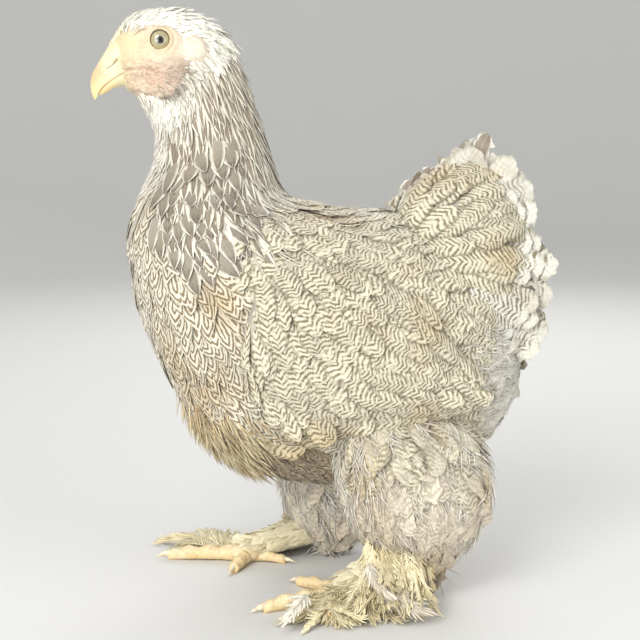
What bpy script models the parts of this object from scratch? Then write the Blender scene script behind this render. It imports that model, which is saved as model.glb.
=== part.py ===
"""Brahma hen, life size, standing still. Metres, +Z up. The bird faces -X and its left side is at -Y.

The head, neck and torso are one smooth loft through slanting sections, parted with thin flat cuts.
Wings, tail, thighs, shanks and toes are set on it, and each feathered node carries its vanes in tiers.
"""
import math
import random

import bmesh
import bpy
from mathutils import Matrix, Vector

MM = 0.001
GAP = 0.40 * MM            # clear space between nodes that touch
CORNER = 1.15              # corners move out by more than the gap, so that the faces move by all of it
CUT = 0.30 * MM            # width of the flat cuts through the neck
ORIGIN = (-9.0, 2.5)       # mm, moves the middle of the footprint to the origin
SINK = 4.0                 # mm, how deep a vane's root lies in its node
FLOOR_CLEAR = 1.9          # mm, feather tips keep this far above the floor
FLAT_ANGLE = 0.3           # degrees, faces this flat to each other are merged after a join or cut
SEED = 11

# The trunk's sections, from the beak's base to the rump, in mm. Each runs from its front or lower point
# to its back or upper point: (front x, front z, back x, back z, half width, share wider in front).
TRUNK = [
    (-150.5, 394, -156.5, 433, 10.5, 0.00),
    (-147.5, 391.5, -153.5, 441, 14.5, 0.00),
    (-144, 389, -148, 448.5, 18, 0.00),
    (-140, 385.5, -137, 454, 21.5, 0.00),
    (-136, 379.5, -120, 456, 24, -0.02),
    (-133, 372.5, -100.5, 452.5, 25.5, -0.02),
    (-130.5, 365, -83, 443, 27, 0.00),
    (-129, 356, -67.5, 427, 30, 0.00),
    (-130, 346, -56, 402, 34, 0.00),
    (-133, 334, -45.5, 368, 40, 0.02),
    (-140, 320, -36, 336, 49, 0.06),
    (-148.5, 302, -28, 314, 61, 0.08),
    (-153.5, 278, -15, 305, 73, 0.08),
    (-152, 252, 0, 302, 82, 0.06),
    (-147, 222, 14, 299, 87, 0.04),
    (-135, 190, 29, 297.5, 89, 0.02),
    (-117, 152, 43, 298, 89, 0.00),
    (-90, 112, 57, 298, 88, -0.02),
    (-50, 87, 72, 295, 85, -0.04),
    (0, 77, 90, 288, 81, -0.04),
    (50, 74, 109, 277, 75, -0.02),
    (94, 86, 127, 262, 65, 0.00),
    (126, 108, 141, 243, 51, 0.00),
    (146, 134, 150, 220, 33, 0.00),
    (153, 158, 154, 198, 16, 0.00),
]
HEAD_END = 5.6             # the station where the head is parted from the neck
NECK_END = 11.6            # the station where the neck is parted from the torso
HEAD_TURNS = 20            # segments round the head
TRUNK_TURNS = 26           # segments round the neck and the torso

# The wing, in mm: its shoulder and its tip seen from the side, and its breadth above and below
# the line between them as (share of the length, above, below).
WING_ROOT = (-66.0, 236.0)
WING_TIP = (88.0, 184.0)
WING_EDGES = [
    (0.00, 26, -18), (0.08, 42, -42), (0.22, 50, -60), (0.40, 51, -68),
    (0.60, 46, -64), (0.78, 37, -54), (0.92, 21, -42), (1.00, 4, -24),
]
WING_THICK = 11.0          # mm at its middle
WING_RIM = 3.4             # mm at its edges, over the flank
WING_BACK = 8.0            # mm, how much deeper its hidden face lies than it is thick
WING_TURNS = 7             # points across the wing
WING_STATIONS = (0.0, 0.06, 0.18, 0.36, 0.56, 0.76, 0.92)
WING_TIERS = (             # vanes, root, tip, first and last place across, width, height over the wing
    (5, 0.48, 1.05, 0.72, -0.78, 29, 1.8),
    (5, 0.24, 0.72, 0.74, -0.78, 28, 2.8),
    (4, 0.05, 0.42, 0.60, -0.68, 30, 2.4),
)

# The neck's cape: station, vanes, furthest angle from the nape, length, width, height, share of the rise.
HACKLE_TIERS = (
    (6.5, 5, 104, 44, 17, 1.8, 1.0), (7.8, 6, 116, 50, 20, 2.0, 1.0),
    (9.0, 8, 128, 54, 22, 2.8, 0.8), (10.2, 10, 124, 62, 26, 3.4, 0.3),
)
HACKLE_STEP = 1.3          # mm, every second vane of a tier lies this much higher
HACKLE_DROP = 0.28         # how much longer the cape's side vanes are, in its lower tiers

# The tail's fan, in mm and degrees: centre seen from the side, then (radius, top, bottom, half width).
FAN_CENTRE = (50.0, 255.0)
FAN = [(24, 88, -40, 40), (50, 76, -42, 51), (75, 63, -42, 47), (98, 54, -41, 36), (116, 46, -38, 20)]
FAN_TURNS = 18
FAN_STRAIGHT = 97          # mm, feathers leave the core's surface at this radius
TAIL_FEATHERS = 7          # main feathers on each side
TAIL_TOP, TAIL_SWEEP = 55, 88   # degrees, the highest feather and how far the others fan out below it
TAIL_ROOT = 78             # mm from the fan's centre to the roots
TAIL_REACH = 138.0         # mm from the fan's centre to the tips
TAIL_WIDTH = 34            # mm, one main feather
TAIL_OUT = (6, 25)         # mm, how far out the tent stands at its top and how much more at its middle
TAIL_COVERTS = (           # root radius, vanes a side, length, width, height
    (56, 5, 78, 35, 3.2), (36, 4, 62, 38, 3.4),
)
COVERT_SPAN = (14, 158)    # degrees round the fan, from its top
COVERT_LEAN = 0.20
COVERT_CURL = 0.08

# The legs, in mm. The left leg is drawn back and the right one is set forward, as in the photograph.
LEGS = {
    "left": {
        "side": -1,
        "thigh": [  # height, centre x, centre |y|, half length, half width
            (150, 52, 46, 40, 24), (128, 60, 57, 54, 32), (104, 65, 62, 59, 37), (80, 67, 64, 56, 38),
            (60, 68, 63, 48, 34), (46, 70, 62, 37, 27), (36, 73, 62, 22, 17),
        ],
        "hock": (74, 62, 44), "ball": (12, 61, 12),
        "toes": {"inner": (-21, 21), "middle": (-55, 83), "outer": (-12, 112), "hind": (47, 46)},
    },
    "right": {
        "side": 1,
        "thigh": [
            (146, 26, 46, 40, 24), (122, 30, 56, 53, 31), (94, 32, 60, 59, 36), (68, 32, 61, 57, 37),
            (46, 29, 60, 48, 33), (30, 26, 59, 36, 26), (20, 22, 59, 21, 16),
        ],
        "hock": (18, 59, 30), "ball": (-53, 51, 12),
        "toes": {"inner": (-70, 17), "middle": (-121, 65), "outer": (-94, 104), "hind": (-24, 38)},
    },
}
THIGH_TURNS = 18
SHANK = [(-0.10, 11.0), (0.10, 12.5), (0.35, 11.0), (0.60, 10.0), (0.82, 10.2), (1.00, 8.5)]   # share, radius
SHANK_TURNS = 10
PAD = (14, 12.5, 8.4)      # mm, half sizes of the ball of the foot
PAD_BACK, PAD_HEIGHT = 3, 8.2
TOE_RADIUS = {"inner": 5.6, "middle": 6.4, "outer": 5.4, "hind": 4.8}
TOE_JOINTS = {"inner": 3, "middle": 4, "outer": 4, "hind": 2}
CLAW_LENGTH = {"inner": 13.0, "middle": 14.5, "outer": 12.0, "hind": 12.0}
TOE_TURNS = 8
TOE_TAPER = 0.22           # share of its radius that a toe loses to its tip
TOE_KNUCKLE = 0.07         # share of its radius that each joint swells by
TOE_ARCH = 1.6             # mm
CLAW_ARCH = (1.0, 2.0, 1.6)     # mm, the claw's start over the toe's end, its rise and its drop
CLAW_SHARE = 0.72          # of the toe's radius
CLAW_BACK = 3.0            # mm, how far the claw's root lies back in the toe's end

# Foot feathers, in mm and degrees. Down the shank: share of its length, vanes, first and last heading
# outwards from the front, rise, length, width. On a toe: length of its vanes.
SPRAY_TIERS = (
    (0.25, 3, 60, 160, -26, 42, 20), (0.58, 3, 40, 146, -20, 58, 21), (0.95, 4, 34, 140, 2, 74, 21),
)
SPRAY_DROOP = 0.16
TOE_VANE_LENGTH = {"middle": 40, "outer": 56}
TOE_VANES = 3
TOE_VANE_SPAN = (0.24, 0.70)
TOE_VANE_TURNS = (36, 43)  # degrees outwards from the toe
TOE_VANE_WIDTH = 16

EYE = (-125.0, 430.7)      # mm, seen from the side
EYE_RADIUS = 10.0          # mm, with its front standing out from the face
EYE_OUT = 2.5
EYE_TURNS = (12, 8)        # segments and rings of an eyeball
LID_RADIUS, LID_THICK, LID_OUT = 7.7, 1.9, 0.5
LOBE = ((-101.5, 22, 424.5), (7, 5, 9))        # centre with |y|, half sizes
WATTLE = ((-140, 9, 393.5), (9, 4, 6))
MOUTH = ((-156, 406.6), (-148, 408.6), (-139, 409.6), (-131.5, 409.2))
MOUTH_CUT = (40, 0.45)     # half width and half height
NOSTRIL = ((-157.5, 10, 413.5), (3.4, 2.6, 1.3))

# The bill: (top x, top z, low x, low z, half width) from its base to its tip.
BILL_UPPER = [
    (-151, 435, -146, 409, 10.0), (-158.5, 432.0, -149, 408.8, 10.4), (-163, 427.4, -154.5, 406.2, 10.0),
    (-167.7, 420.3, -159.5, 403.2, 9.0), (-172.4, 412.7, -164.5, 399.8, 7.6),
    (-176.2, 405.6, -168.8, 396, 5.8), (-177.7, 398.6, -171.6, 392, 4.0),
    (-177.1, 391.8, -173, 388.4, 2.4), (-175.2, 386.6, -174.4, 386.2, 0.7),
]
BILL_LOWER = [
    (-149, 408.2, -148.5, 392.8, 8.8), (-156.6, 404.3, -155, 394.4, 7.8), (-162.5, 400.6, -161.8, 393, 6.0),
    (-167.2, 396.8, -166.4, 391.2, 4.2), (-171.2, 391.6, -170.8, 389.4, 1.8),
]
BILL_STEPS = 8             # faces over half a ring
BILL_ROUND = 0.8           # under 1 makes its sides fuller

COMB = ((-155.5, 0, 434.5), (10, 5.0, 3.2))    # the base's centre and half sizes
COMB_SLOPE = 57            # degrees
COMB_ROWS = ((-1, 2, 2.1), (0, 3, 2.9), (1, 2, 2.1))      # place across, beads, radius
COMB_BEAD = (-156.2, 3.1, 435)                 # x and z of the middle bead, with the rows' spacing between
COMB_STEP = (2.9, 4.5)     # from bead to bead along x and z

COLOURS = {
    "plumage": ((0.74, 0.71, 0.62), 0.75), "hackle": ((0.62, 0.58, 0.52), 0.7),
    "down": ((0.72, 0.68, 0.62), 0.9), "skin": ((0.86, 0.70, 0.58), 0.5),
    "horn": ((0.88, 0.74, 0.42), 0.35), "eye": ((0.55, 0.47, 0.30), 0.1),
    "toe": ((0.86, 0.68, 0.38), 0.5), "claw": ((0.88, 0.78, 0.58), 0.35),
}


def clear_scene():
    for obj in list(bpy.data.objects):
        bpy.data.objects.remove(obj, do_unlink=True)


def material(slot):
    found = bpy.data.materials.get(slot)
    if found:
        return found
    colour, roughness = COLOURS[slot]
    made = bpy.data.materials.new(slot)
    made.use_nodes = True
    shader = made.node_tree.nodes["Principled BSDF"]
    shader.inputs["Base Color"].default_value = (*colour, 1)
    shader.inputs["Roughness"].default_value = roughness
    shader.inputs["Metallic"].default_value = 0.0
    return made


def place(x, y, z):
    """A point given in mm, moved to the part's own origin."""
    return Vector(((x + ORIGIN[0]) * MM, (y + ORIGIN[1]) * MM, z * MM))


def smooth_row(rows, s):
    """Every number of rows at station s, on a curve through the stations."""
    last = len(rows) - 1
    i = max(0, min(int(s), last - 1))
    f = s - i
    near = [rows[max(0, min(last, k))] for k in (i - 1, i, i + 1, i + 2)]
    values = []
    for p, q, r, t in zip(*near):
        bend = 2 * p - 5 * q + 4 * r - t
        twist = 3 * q - p - 3 * r + t
        values.append(0.5 * (2 * q + (r - p) * f + bend * f ** 2 + twist * f ** 3))
    return values


def row_at(rows, value):
    """The row whose first number is value, between the rows beside it."""
    for a, b in zip(rows, rows[1:]):
        if value <= b[0]:
            break
    f = max(0.0, min(1.0, (value - a[0]) / (b[0] - a[0])))
    return [p + (q - p) * f for p, q in zip(a, b)]


def trunk_point(s, t):
    """The trunk's surface at station s. t turns from the back, 0, over the right side to the front, pi."""
    fx, fz, bx, bz, half, front = smooth_row(TRUNK, s)
    up, out = math.cos(t), math.sin(t)
    cx, cz, hx, hz = (fx + bx) / 2, (fz + bz) / 2, (bx - fx) / 2, (bz - fz) / 2
    return place(cx + hx * up, half * out * (1 - front * up), cz + hz * up)


def fan_point(r, t):
    """The tail core's surface at radius r mm from the fan's centre. t turns from the top to the bottom."""
    _, top, bottom, half = row_at(FAN, r)
    up, out = math.cos(t), math.sin(t)
    angle = math.radians((top + bottom) / 2 + (top - bottom) / 2 * up)
    x = FAN_CENTRE[0] + r * math.cos(angle)
    z = FAN_CENTRE[1] + r * math.sin(angle)
    return place(x, half * out * (1 - 0.18 * up), z)


def surface_frame(surface, s, t):
    """(point, direction of the lie, direction round, outward normal) of a surface at (s, t)."""
    step = 0.02
    here = surface(s, t)
    along = surface(s + step, t) - surface(s - step, t)
    round_ = surface(s, t + step) - surface(s, t - step)
    normal = along.cross(round_)
    return here, along / (2 * step), round_ / (2 * step), normal.normalized()


def new_object(name, bm, slot):
    """A node from a bmesh, with its faces turned outwards."""
    bmesh.ops.recalc_face_normals(bm, faces=bm.faces)
    if bm.calc_volume(signed=True) < 0:
        bmesh.ops.reverse_faces(bm, faces=bm.faces)
    mesh = bpy.data.meshes.new(name)
    bm.to_mesh(mesh)
    bm.free()
    mesh.materials.append(material(slot))
    obj = bpy.data.objects.new(name, mesh)
    hen.objects.link(obj)
    return obj


def loft(name, rings, slot):
    """A closed body through rings of points, each with the same count, with a cap on each end."""
    bm = bmesh.new()
    rows = [[bm.verts.new(p) for p in ring] for ring in rings]
    count = len(rings[0])
    for a, b in zip(rows, rows[1:]):
        for k in range(count):
            bm.faces.new((a[k], a[(k + 1) % count], b[(k + 1) % count], b[k]))
    bm.faces.new(rows[0])
    bm.faces.new(rows[-1])
    bmesh.ops.triangulate(bm, faces=bm.faces, quad_method="SHORT_EDGE")
    return new_object(name, bm, slot)


def turns(count):
    return [2 * math.pi * k / count for k in range(count)]


def spread(first, last, count):
    return [first + (last - first) * k / (count - 1) for k in range(count)]


def evaluated_mesh(obj):
    bpy.context.view_layer.update()
    return bpy.data.meshes.new_from_object(obj.evaluated_get(bpy.context.evaluated_depsgraph_get()))


def remove(objects):
    for obj in list(objects):
        bpy.data.objects.remove(obj, do_unlink=True)


def boolean(obj, others, operation):
    """Joins or cuts obj by all the others at once, applies it and keeps the largest closed surface."""
    if not others:
        return obj
    group = bpy.data.collections.new("pieces_of_" + obj.name)
    bpy.context.scene.collection.children.link(group)
    for other in others:
        for owner in list(other.users_collection):
            owner.objects.unlink(other)
        group.objects.link(other)
    change = obj.modifiers.new("pieces", "BOOLEAN")
    change.operation = operation
    change.operand_type = "COLLECTION"
    change.solver = "MANIFOLD"
    change.collection = group
    mesh = evaluated_mesh(obj)
    obj.modifiers.clear()
    obj.data = mesh
    remove(others)
    bpy.data.collections.remove(group)
    keep_largest(obj)
    return obj


def keep_largest(obj):
    """Drops loose scraps and sealed hollows, so that the node is one closed body."""
    bm = bmesh.new()
    bm.from_mesh(obj.data)
    left = set(bm.faces)
    shells = []
    while left:
        shell, todo = set(), [left.pop()]
        while todo:
            face = todo.pop()
            shell.add(face)
            for edge in face.edges:
                for other in edge.link_faces:
                    if other in left:
                        left.discard(other)
                        todo.append(other)
        shells.append(shell)
    size = {id(s): sum(f.calc_area() for f in s) for s in shells}
    best = max(shells, key=lambda s: size[id(s)])
    bmesh.ops.delete(bm, geom=[f for f in bm.faces if f not in best], context="FACES")
    bmesh.ops.triangulate(bm, faces=bm.faces)
    neat = bm.copy()
    bmesh.ops.dissolve_limit(neat, angle_limit=math.radians(FLAT_ANGLE), verts=neat.verts, edges=neat.edges)
    bmesh.ops.triangulate(neat, faces=neat.faces)
    closed = all(edge.is_manifold for edge in neat.edges)
    (neat if closed else bm).to_mesh(obj.data)
    neat.free()
    bm.free()


def grown(obj):
    """A copy of obj that is larger by the gap on every side, to cut its neighbours clear of it."""
    bm = bmesh.new()
    bm.from_mesh(obj.data)
    bm.normal_update()
    moves = [v.normal * GAP * CORNER for v in bm.verts]
    for v, move in zip(bm.verts, moves):
        v.co += move
    mesh = bpy.data.meshes.new(obj.name + "_grown")
    bm.to_mesh(mesh)
    bm.free()
    copy = bpy.data.objects.new(obj.name + "_grown", mesh)
    copy.hide_render = True
    copy.display_type = "WIRE"
    hen.objects.link(copy)
    return copy


def cut_clear(obj, neighbours):
    return boolean(obj, [grown(other) for other in neighbours], "DIFFERENCE")


def blade(spine, normals, widths, thick):
    """One closed vane along a spine. Both faces are split into triangles alike, so that they never cross."""
    bm = bmesh.new()
    rows = []
    for i, point in enumerate(spine):
        ahead = spine[min(i + 1, len(spine) - 1)] - spine[max(i - 1, 0)]
        side = ahead.cross(normals[i]).normalized() * widths[i] * MM / 2
        lift = normals[i] * thick[i] * MM / 2
        corners = (point - side + lift, point + side + lift, point + side - lift, point - side - lift)
        rows.append([bm.verts.new(c) for c in corners])
    for a, b in zip(rows, rows[1:]):
        bm.faces.new((a[0], a[1], b[1]))
        bm.faces.new((a[0], b[1], b[0]))
        bm.faces.new((a[3], b[2], a[2]))
        bm.faces.new((a[3], b[3], b[2]))
        for p, q in ((1, 2), (3, 0)):
            bm.faces.new((a[p], a[q], b[q]))
            bm.faces.new((a[p], b[q], b[p]))
    for row in (rows[0], rows[-1]):
        bm.faces.new((row[0], row[1], row[2]))
        bm.faces.new((row[0], row[2], row[3]))
    return new_object("vane", bm, "plumage")


# A vane's outline: (share of its length, share of its width) from its root to its tip.
VANE_SHAPES = {
    "hackle": ((0, 0.55), (0.3, 1.0), (0.65, 0.85), (1, 0.12)),
    "round": ((0, 0.5), (0.35, 0.92), (0.7, 1.0), (0.9, 0.8), (1, 0.3)),
    "foot": ((0, 0.5), (0.35, 1.0), (0.75, 0.75), (1, 0.15)),
}
VANE_ROOT, VANE_TIP = 1.3, 0.6  # mm thick at its ends, and 1 mm between


def feather_on(surface, s, t, turn, length, width, lift, shape, limit, tilt=0.0, curl=0.0, early=1.0):
    """A vane that starts sunk in a surface at (s, t) and lies along it, turned from the lie by an angle.

    It rises evenly to its tip, or sooner where early is under 1. Past the station limit it goes straight on.
    """
    spine, normals = [], []
    last = 0.0
    for share, _ in VANE_SHAPES[shape]:
        stride = (share - last) * length * MM
        last = share
        if s <= limit:
            if stride:
                s += stride * math.cos(turn) / along.length
                t += stride * math.sin(turn) / round_.length
            base, along, round_, normal = surface_frame(surface, s, t)
            ahead = (along.normalized() * math.cos(turn) + round_.normalized() * math.sin(turn)).normalized()
        else:
            base = base + ahead * stride
            ahead = (ahead - normal * curl).normalized()
        height = -SINK + (lift + SINK) * min(1.0, share / early)
        across = normal.cross(ahead).normalized()
        spine.append(base + normal * height * MM)
        normals.append((normal + across * tilt).normalized())
    return vane(spine, normals, width, shape)


def vane(spine, normals, width, shape, root=VANE_ROOT):
    """A blade of one of the named outlines, thinner towards its tip."""
    outline = VANE_SHAPES[shape]
    thick = [root] + [1.0] * (len(outline) - 2) + [VANE_TIP]
    return blade(spine, normals, [width * share for _, share in outline], thick)


def trunk_parts():
    """The head, neck and torso, parted along the flat planes of their sections."""
    def ring(s, count, shift):
        points = [trunk_point(s, t) for t in turns(count)]
        fx, fz, bx, bz = smooth_row(TRUNK, s)[:4]
        plane = Vector((bz - fz, 0, fx - bx)).normalized()  # points on along the trunk
        return [p + plane * shift for p in points]

    def part(name, first, last, rings, count, slot, shift_first, shift_last):
        stations = spread(first, last, rings)
        loops = [ring(s, count, 0) for s in stations]
        loops[0] = ring(first, count, shift_first)
        loops[-1] = ring(last, count, shift_last)
        return loft(name, loops, slot)

    end = len(TRUNK) - 1
    head = part("head", 0, HEAD_END, 9, HEAD_TURNS, "skin", 0, -CUT / 2)
    neck = part("neck", HEAD_END, NECK_END, 7, TRUNK_TURNS, "hackle", CUT / 2, -CUT / 2)
    torso = part("torso", NECK_END, end, 14, TRUNK_TURNS, "plumage", CUT / 2, 0)
    return head, neck, torso


def ellipsoid(name, centre, sizes, slot, segments=12, rings=8):
    """A ball stretched to three half sizes in mm, at a centre in mm."""
    bm = bmesh.new()
    bmesh.ops.create_uvsphere(bm, u_segments=segments, v_segments=rings, radius=1)
    bmesh.ops.scale(bm, vec=Vector(sizes) * MM, verts=bm.verts)
    bmesh.ops.translate(bm, vec=place(*centre), verts=bm.verts)
    return new_object(name, bm, slot)


def side_of(node, x, z):
    """How far a node's side stands out at (x, z), in mm."""
    hit = node.ray_cast(place(x, -300, z), Vector((0, 1, 0)))
    return ORIGIN[1] - hit[1].y / MM if hit[0] else 0.0


def eyes(head):
    """The eyeballs, with the lids as a raised ring round each and the socket cut out of the head."""
    x, z = EYE
    surface = side_of(head, x, z)
    balls = []
    for name, side in (("eye_left", -1), ("eye_right", 1)):
        centre = surface + EYE_OUT - EYE_RADIUS
        balls.append(ellipsoid(name, (x, side * centre, z), (EYE_RADIUS,) * 3, "eye", *EYE_TURNS))
        bpy.ops.mesh.primitive_torus_add(
            major_segments=12, minor_segments=5, major_radius=LID_RADIUS * MM, minor_radius=LID_THICK * MM,
            location=place(x, side * (surface + LID_OUT), z), rotation=(math.pi / 2, 0, 0))
        lid = bpy.context.object
        lid.data.transform(lid.matrix_world)
        lid.matrix_world.identity()
        boolean(head, [lid], "UNION")
    cut_clear(head, balls)


def face(head):
    """Ear lobes and small wattles swell from the head, and the corner of the mouth is cut into it."""
    pieces = []
    for side in (-1, 1):
        for name, ((x, y, z), sizes) in (("lobe", LOBE), ("wattle", WATTLE)):
            pieces.append(ellipsoid(name, (x, side * y, z), sizes, "skin", 8, 5))
    boolean(head, pieces, "UNION")
    mouth = []
    wide, high = MOUTH_CUT
    for x, z in MOUTH:
        corners = ((-wide, -high), (wide, -high), (wide, high), (-wide, high))
        mouth.append([place(x, y, z + h) for y, h in corners])
    boolean(head, [loft("mouth", mouth, "skin")], "DIFFERENCE")


def beak(head):
    """Upper and lower bill, each a loft from its base to its tip."""
    made = []
    for name, rows, down in (("beak_upper", BILL_UPPER, False), ("beak_lower", BILL_LOWER, True)):
        rings = []
        for tx, tz, lx, lz, half in rows:
            ring = []
            for k in range(BILL_STEPS + 1):
                t = math.pi * k / BILL_STEPS
                rise = math.sin(t) ** BILL_ROUND
                up = 1 - rise if down else rise
                ring.append(place(lx + (tx - lx) * up, half * math.cos(t), lz + (tz - lz) * up))
            rings.append(ring)
        made.append(loft(name, rings, "horn"))
    (x, y, z), sizes = NOSTRIL
    nostrils = [ellipsoid("nostril", (x, side * y, z), sizes, "horn", 8, 6) for side in (-1, 1)]
    boolean(made[0], nostrils, "DIFFERENCE")
    cut_clear(made[0], [head])
    cut_clear(made[1], [head, made[0]])
    return made


def comb(head, upper):
    """A low pea comb: three rows of small beads on a common base, over the bill's root."""
    middle, sizes = COMB
    base = ellipsoid("comb", middle, sizes, "skin", 8, 5)
    turn = Matrix.Rotation(math.radians(-COMB_SLOPE), 4, "Y")
    centre = place(*middle)
    base.data.transform(Matrix.Translation(centre) @ turn @ Matrix.Translation(-centre))
    beads = []
    x, spacing, z = COMB_BEAD
    for row, count, radius in COMB_ROWS:
        for k in range(count):
            along = k - (count - 1) / 2
            spot = (x + COMB_STEP[0] * along, row * spacing, z + COMB_STEP[1] * along)
            beads.append(ellipsoid("bead", spot, (radius,) * 3, "skin", 5, 4))
    boolean(base, beads, "UNION")
    return cut_clear(base, [head, upper])


def wing_frame():
    root, tip = Vector((WING_ROOT[0], WING_ROOT[1])), Vector((WING_TIP[0], WING_TIP[1]))
    length = (tip - root).length
    along = (tip - root).normalized()
    return root, along, Vector((-along.y, along.x)), length


def wing_point(torso, side, a, b, rise=0.0):
    """A point on the wing's outer face. a runs from the shoulder to the tip, b from its lower edge to 1."""
    root, along, across, length = wing_frame()
    _, above, below = row_at(WING_EDGES, min(a, 1.0))
    reach = below + (above - below) * (b + 1) / 2
    spot = root + along * length * a + across * reach
    inside = root + along * length * min(a, 0.97) + across * reach
    edge = min(1.0, abs(b)) ** 2.2
    shoulder = min(1.0, 0.25 + a * 3.2)
    thick = WING_THICK * (1 - edge) * shoulder + WING_RIM
    out = side_of(torso, inside.x, inside.y) + thick + rise
    return place(spot.x, side * out, spot.y)


def wing(side, name, torso):
    """A wing that lies on the flank, with its coverts and flight feathers as vanes in three tiers."""
    rings = []
    for a in WING_STATIONS:
        across = spread(-1, 1, WING_TURNS)
        outer = [wing_point(torso, side, a, b) for b in across]
        inner = [wing_point(torso, side, a, b, -WING_THICK - WING_BACK) for b in reversed(across)]
        rings.append(outer + inner)
    node = loft(name, rings, "plumage")
    draw = random.Random(SEED)
    vanes = []
    for count, root, tip, first, last, width, height in WING_TIERS:
        for b in spread(first, last, count):
            reach = tip - 0.10 * b * b + draw.uniform(-0.012, 0.012)
            spine, normals = [], []
            for share, _ in VANE_SHAPES["round"]:
                a = root + (reach - root) * share
                rise = -SINK + (height + SINK) * share
                spine.append(wing_point(torso, side, a, b - 0.05 * share, rise))
                a = min(a, 0.9)
                up = wing_point(torso, side, a, b + 0.06) - wing_point(torso, side, a, b - 0.06)
                on = wing_point(torso, side, a + 0.03, b) - wing_point(torso, side, a - 0.03, b)
                normal = on.cross(up).normalized() * side
                normals.append((normal + Vector((0, 0, 0.16))).normalized())
            vanes.append(vane(spine, normals, width, "round"))
    boolean(node, vanes, "UNION")
    return cut_clear(node, [torso])


def hackle(neck):
    """The neck's cape: lance-shaped vanes in tiers that lie down the neck and over the shoulders."""
    draw = random.Random(SEED + 1)
    vanes = []
    for row, (s, count, reach, length, width, lift, early) in enumerate(HACKLE_TIERS):
        for k, angle in enumerate(spread(-reach, reach, count)):
            longer = HACKLE_DROP * math.sin(math.radians(abs(angle))) ** 2 if row > 1 else 0.0
            vanes.append(feather_on(
                trunk_point, s + draw.uniform(-0.1, 0.1), math.radians(angle + draw.uniform(-3, 3)),
                draw.uniform(-0.05, 0.05), length * (1 + longer) * draw.uniform(0.94, 1.06), width,
                lift + HACKLE_STEP * (k % 2), "hackle", len(TRUNK), 0.10, 0.0, early))
    return boolean(neck, vanes, "UNION")


def tail(torso, wings):
    """The tail: main feathers in a steep tent, covered on each side by two tiers of rounded coverts."""
    rings = [[fan_point(r, t) for t in turns(FAN_TURNS)] for r, *_ in FAN]
    node = loft("tail", rings, "plumage")
    draw = random.Random(SEED + 2)
    vanes = []
    for side in (-1, 1):
        for k in range(TAIL_FEATHERS):
            f = k / (TAIL_FEATHERS - 1)
            angle = math.radians(TAIL_TOP - TAIL_SWEEP * f)
            out = TAIL_OUT[0] + TAIL_OUT[1] * math.sin(math.pi * 0.8 * f)
            tip = TAIL_REACH + 7 * f + draw.uniform(-2.5, 2.5)
            spine, normals = [], []
            for share, _ in VANE_SHAPES["round"]:
                r = TAIL_ROOT + (tip - TAIL_ROOT) * share
                bend = angle - math.radians(5) * share ** 2
                y = side * out * (0.62 + 0.38 * share)
                spine.append(place(FAN_CENTRE[0] + r * math.cos(bend), y, FAN_CENTRE[1] + r * math.sin(bend)))
                up = Vector((-math.sin(bend), 0, math.cos(bend)))
                normals.append((Vector((0, side, 0)) + up * 0.28).normalized())
            vanes.append(vane(spine, normals, TAIL_WIDTH, "round", 1.4))
        for start, count, length, width, lift in TAIL_COVERTS:
            for angle in spread(*COVERT_SPAN, count):
                t = side * math.radians(angle + draw.uniform(-2, 2))
                vanes.append(feather_on(
                    fan_point, start + draw.uniform(-2, 2), t, 0.0, length * draw.uniform(0.95, 1.05), width,
                    lift, "round", FAN_STRAIGHT, -COVERT_LEAN * side, COVERT_CURL))
    boolean(node, vanes, "UNION")
    return cut_clear(node, [torso] + wings)


def thigh(leg, name, torso, wing_node):
    """The downy thigh, from inside the flank to the hock."""
    rings = []
    for z, x, y, long_, wide in leg["thigh"]:
        ring = []
        for t in turns(THIGH_TURNS):
            ring.append(place(x + long_ * math.cos(t), leg["side"] * y + wide * math.sin(t), z))
        rings.append(ring)
    node = loft(name, rings, "down")
    return cut_clear(node, [torso, wing_node])


def tube(path, radii, count):
    """Rings of points round a path, with none below the floor."""
    rings = []
    for i, point in enumerate(path):
        ahead = (path[min(i + 1, len(path) - 1)] - path[max(i - 1, 0)]).normalized()
        side = ahead.cross(Vector((0, 0, 1))).normalized()
        up = side.cross(ahead).normalized()
        ring = []
        for t in turns(count):
            spot = point + (side * math.cos(t) + up * math.sin(t)) * radii[i] * MM
            spot.z = max(spot.z, 0.0)
            ring.append(spot)
        rings.append(ring)
    return rings


def sprays(leg, draw):
    """The stiff feathers of the shank's outer side: (root, heading, rise, length, width)."""
    hock, ball = (Vector((v[0], leg["side"] * v[1], v[2])) for v in (leg["hock"], leg["ball"]))
    for share, count, first, last, rise, length, width in SPRAY_TIERS:
        spot = hock + (ball - hock) * share
        for heading in spread(first, last, count):
            angle = math.radians(heading + draw.uniform(-4, 4))
            ahead = Vector((-math.cos(angle), leg["side"] * math.sin(angle), 0))
            yield spot + ahead * 2.0, ahead, math.radians(rise), length * draw.uniform(0.9, 1.08), width


def foot_vane(root, ahead, rise, length, width, order):
    """A vane that springs from the leg, droops and lies on the floor without passing it."""
    spine, normals = [], []
    side = Vector((-ahead.y, ahead.x, 0))
    least = FLOOR_CLEAR + 1.2 * (order % 3)
    for share, _ in VANE_SHAPES["foot"]:
        spot = root + ahead * length * share * math.cos(rise)
        z = root.z + length * (math.sin(rise) * share - SPRAY_DROOP * share * share)
        spine.append(place(spot.x, spot.y, max(z, least)))
        slope = Vector((ahead.x, ahead.y, math.sin(rise) - 2 * SPRAY_DROOP * share if z > least else 0))
        normal = side.cross(slope)
        normal = normal if normal.z > 0 else -normal
        normals.append((normal.normalized() + side * 0.1 * (1 if order % 2 else -1)).normalized())
    return vane(spine, normals, width, "foot", 1.5)


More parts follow.
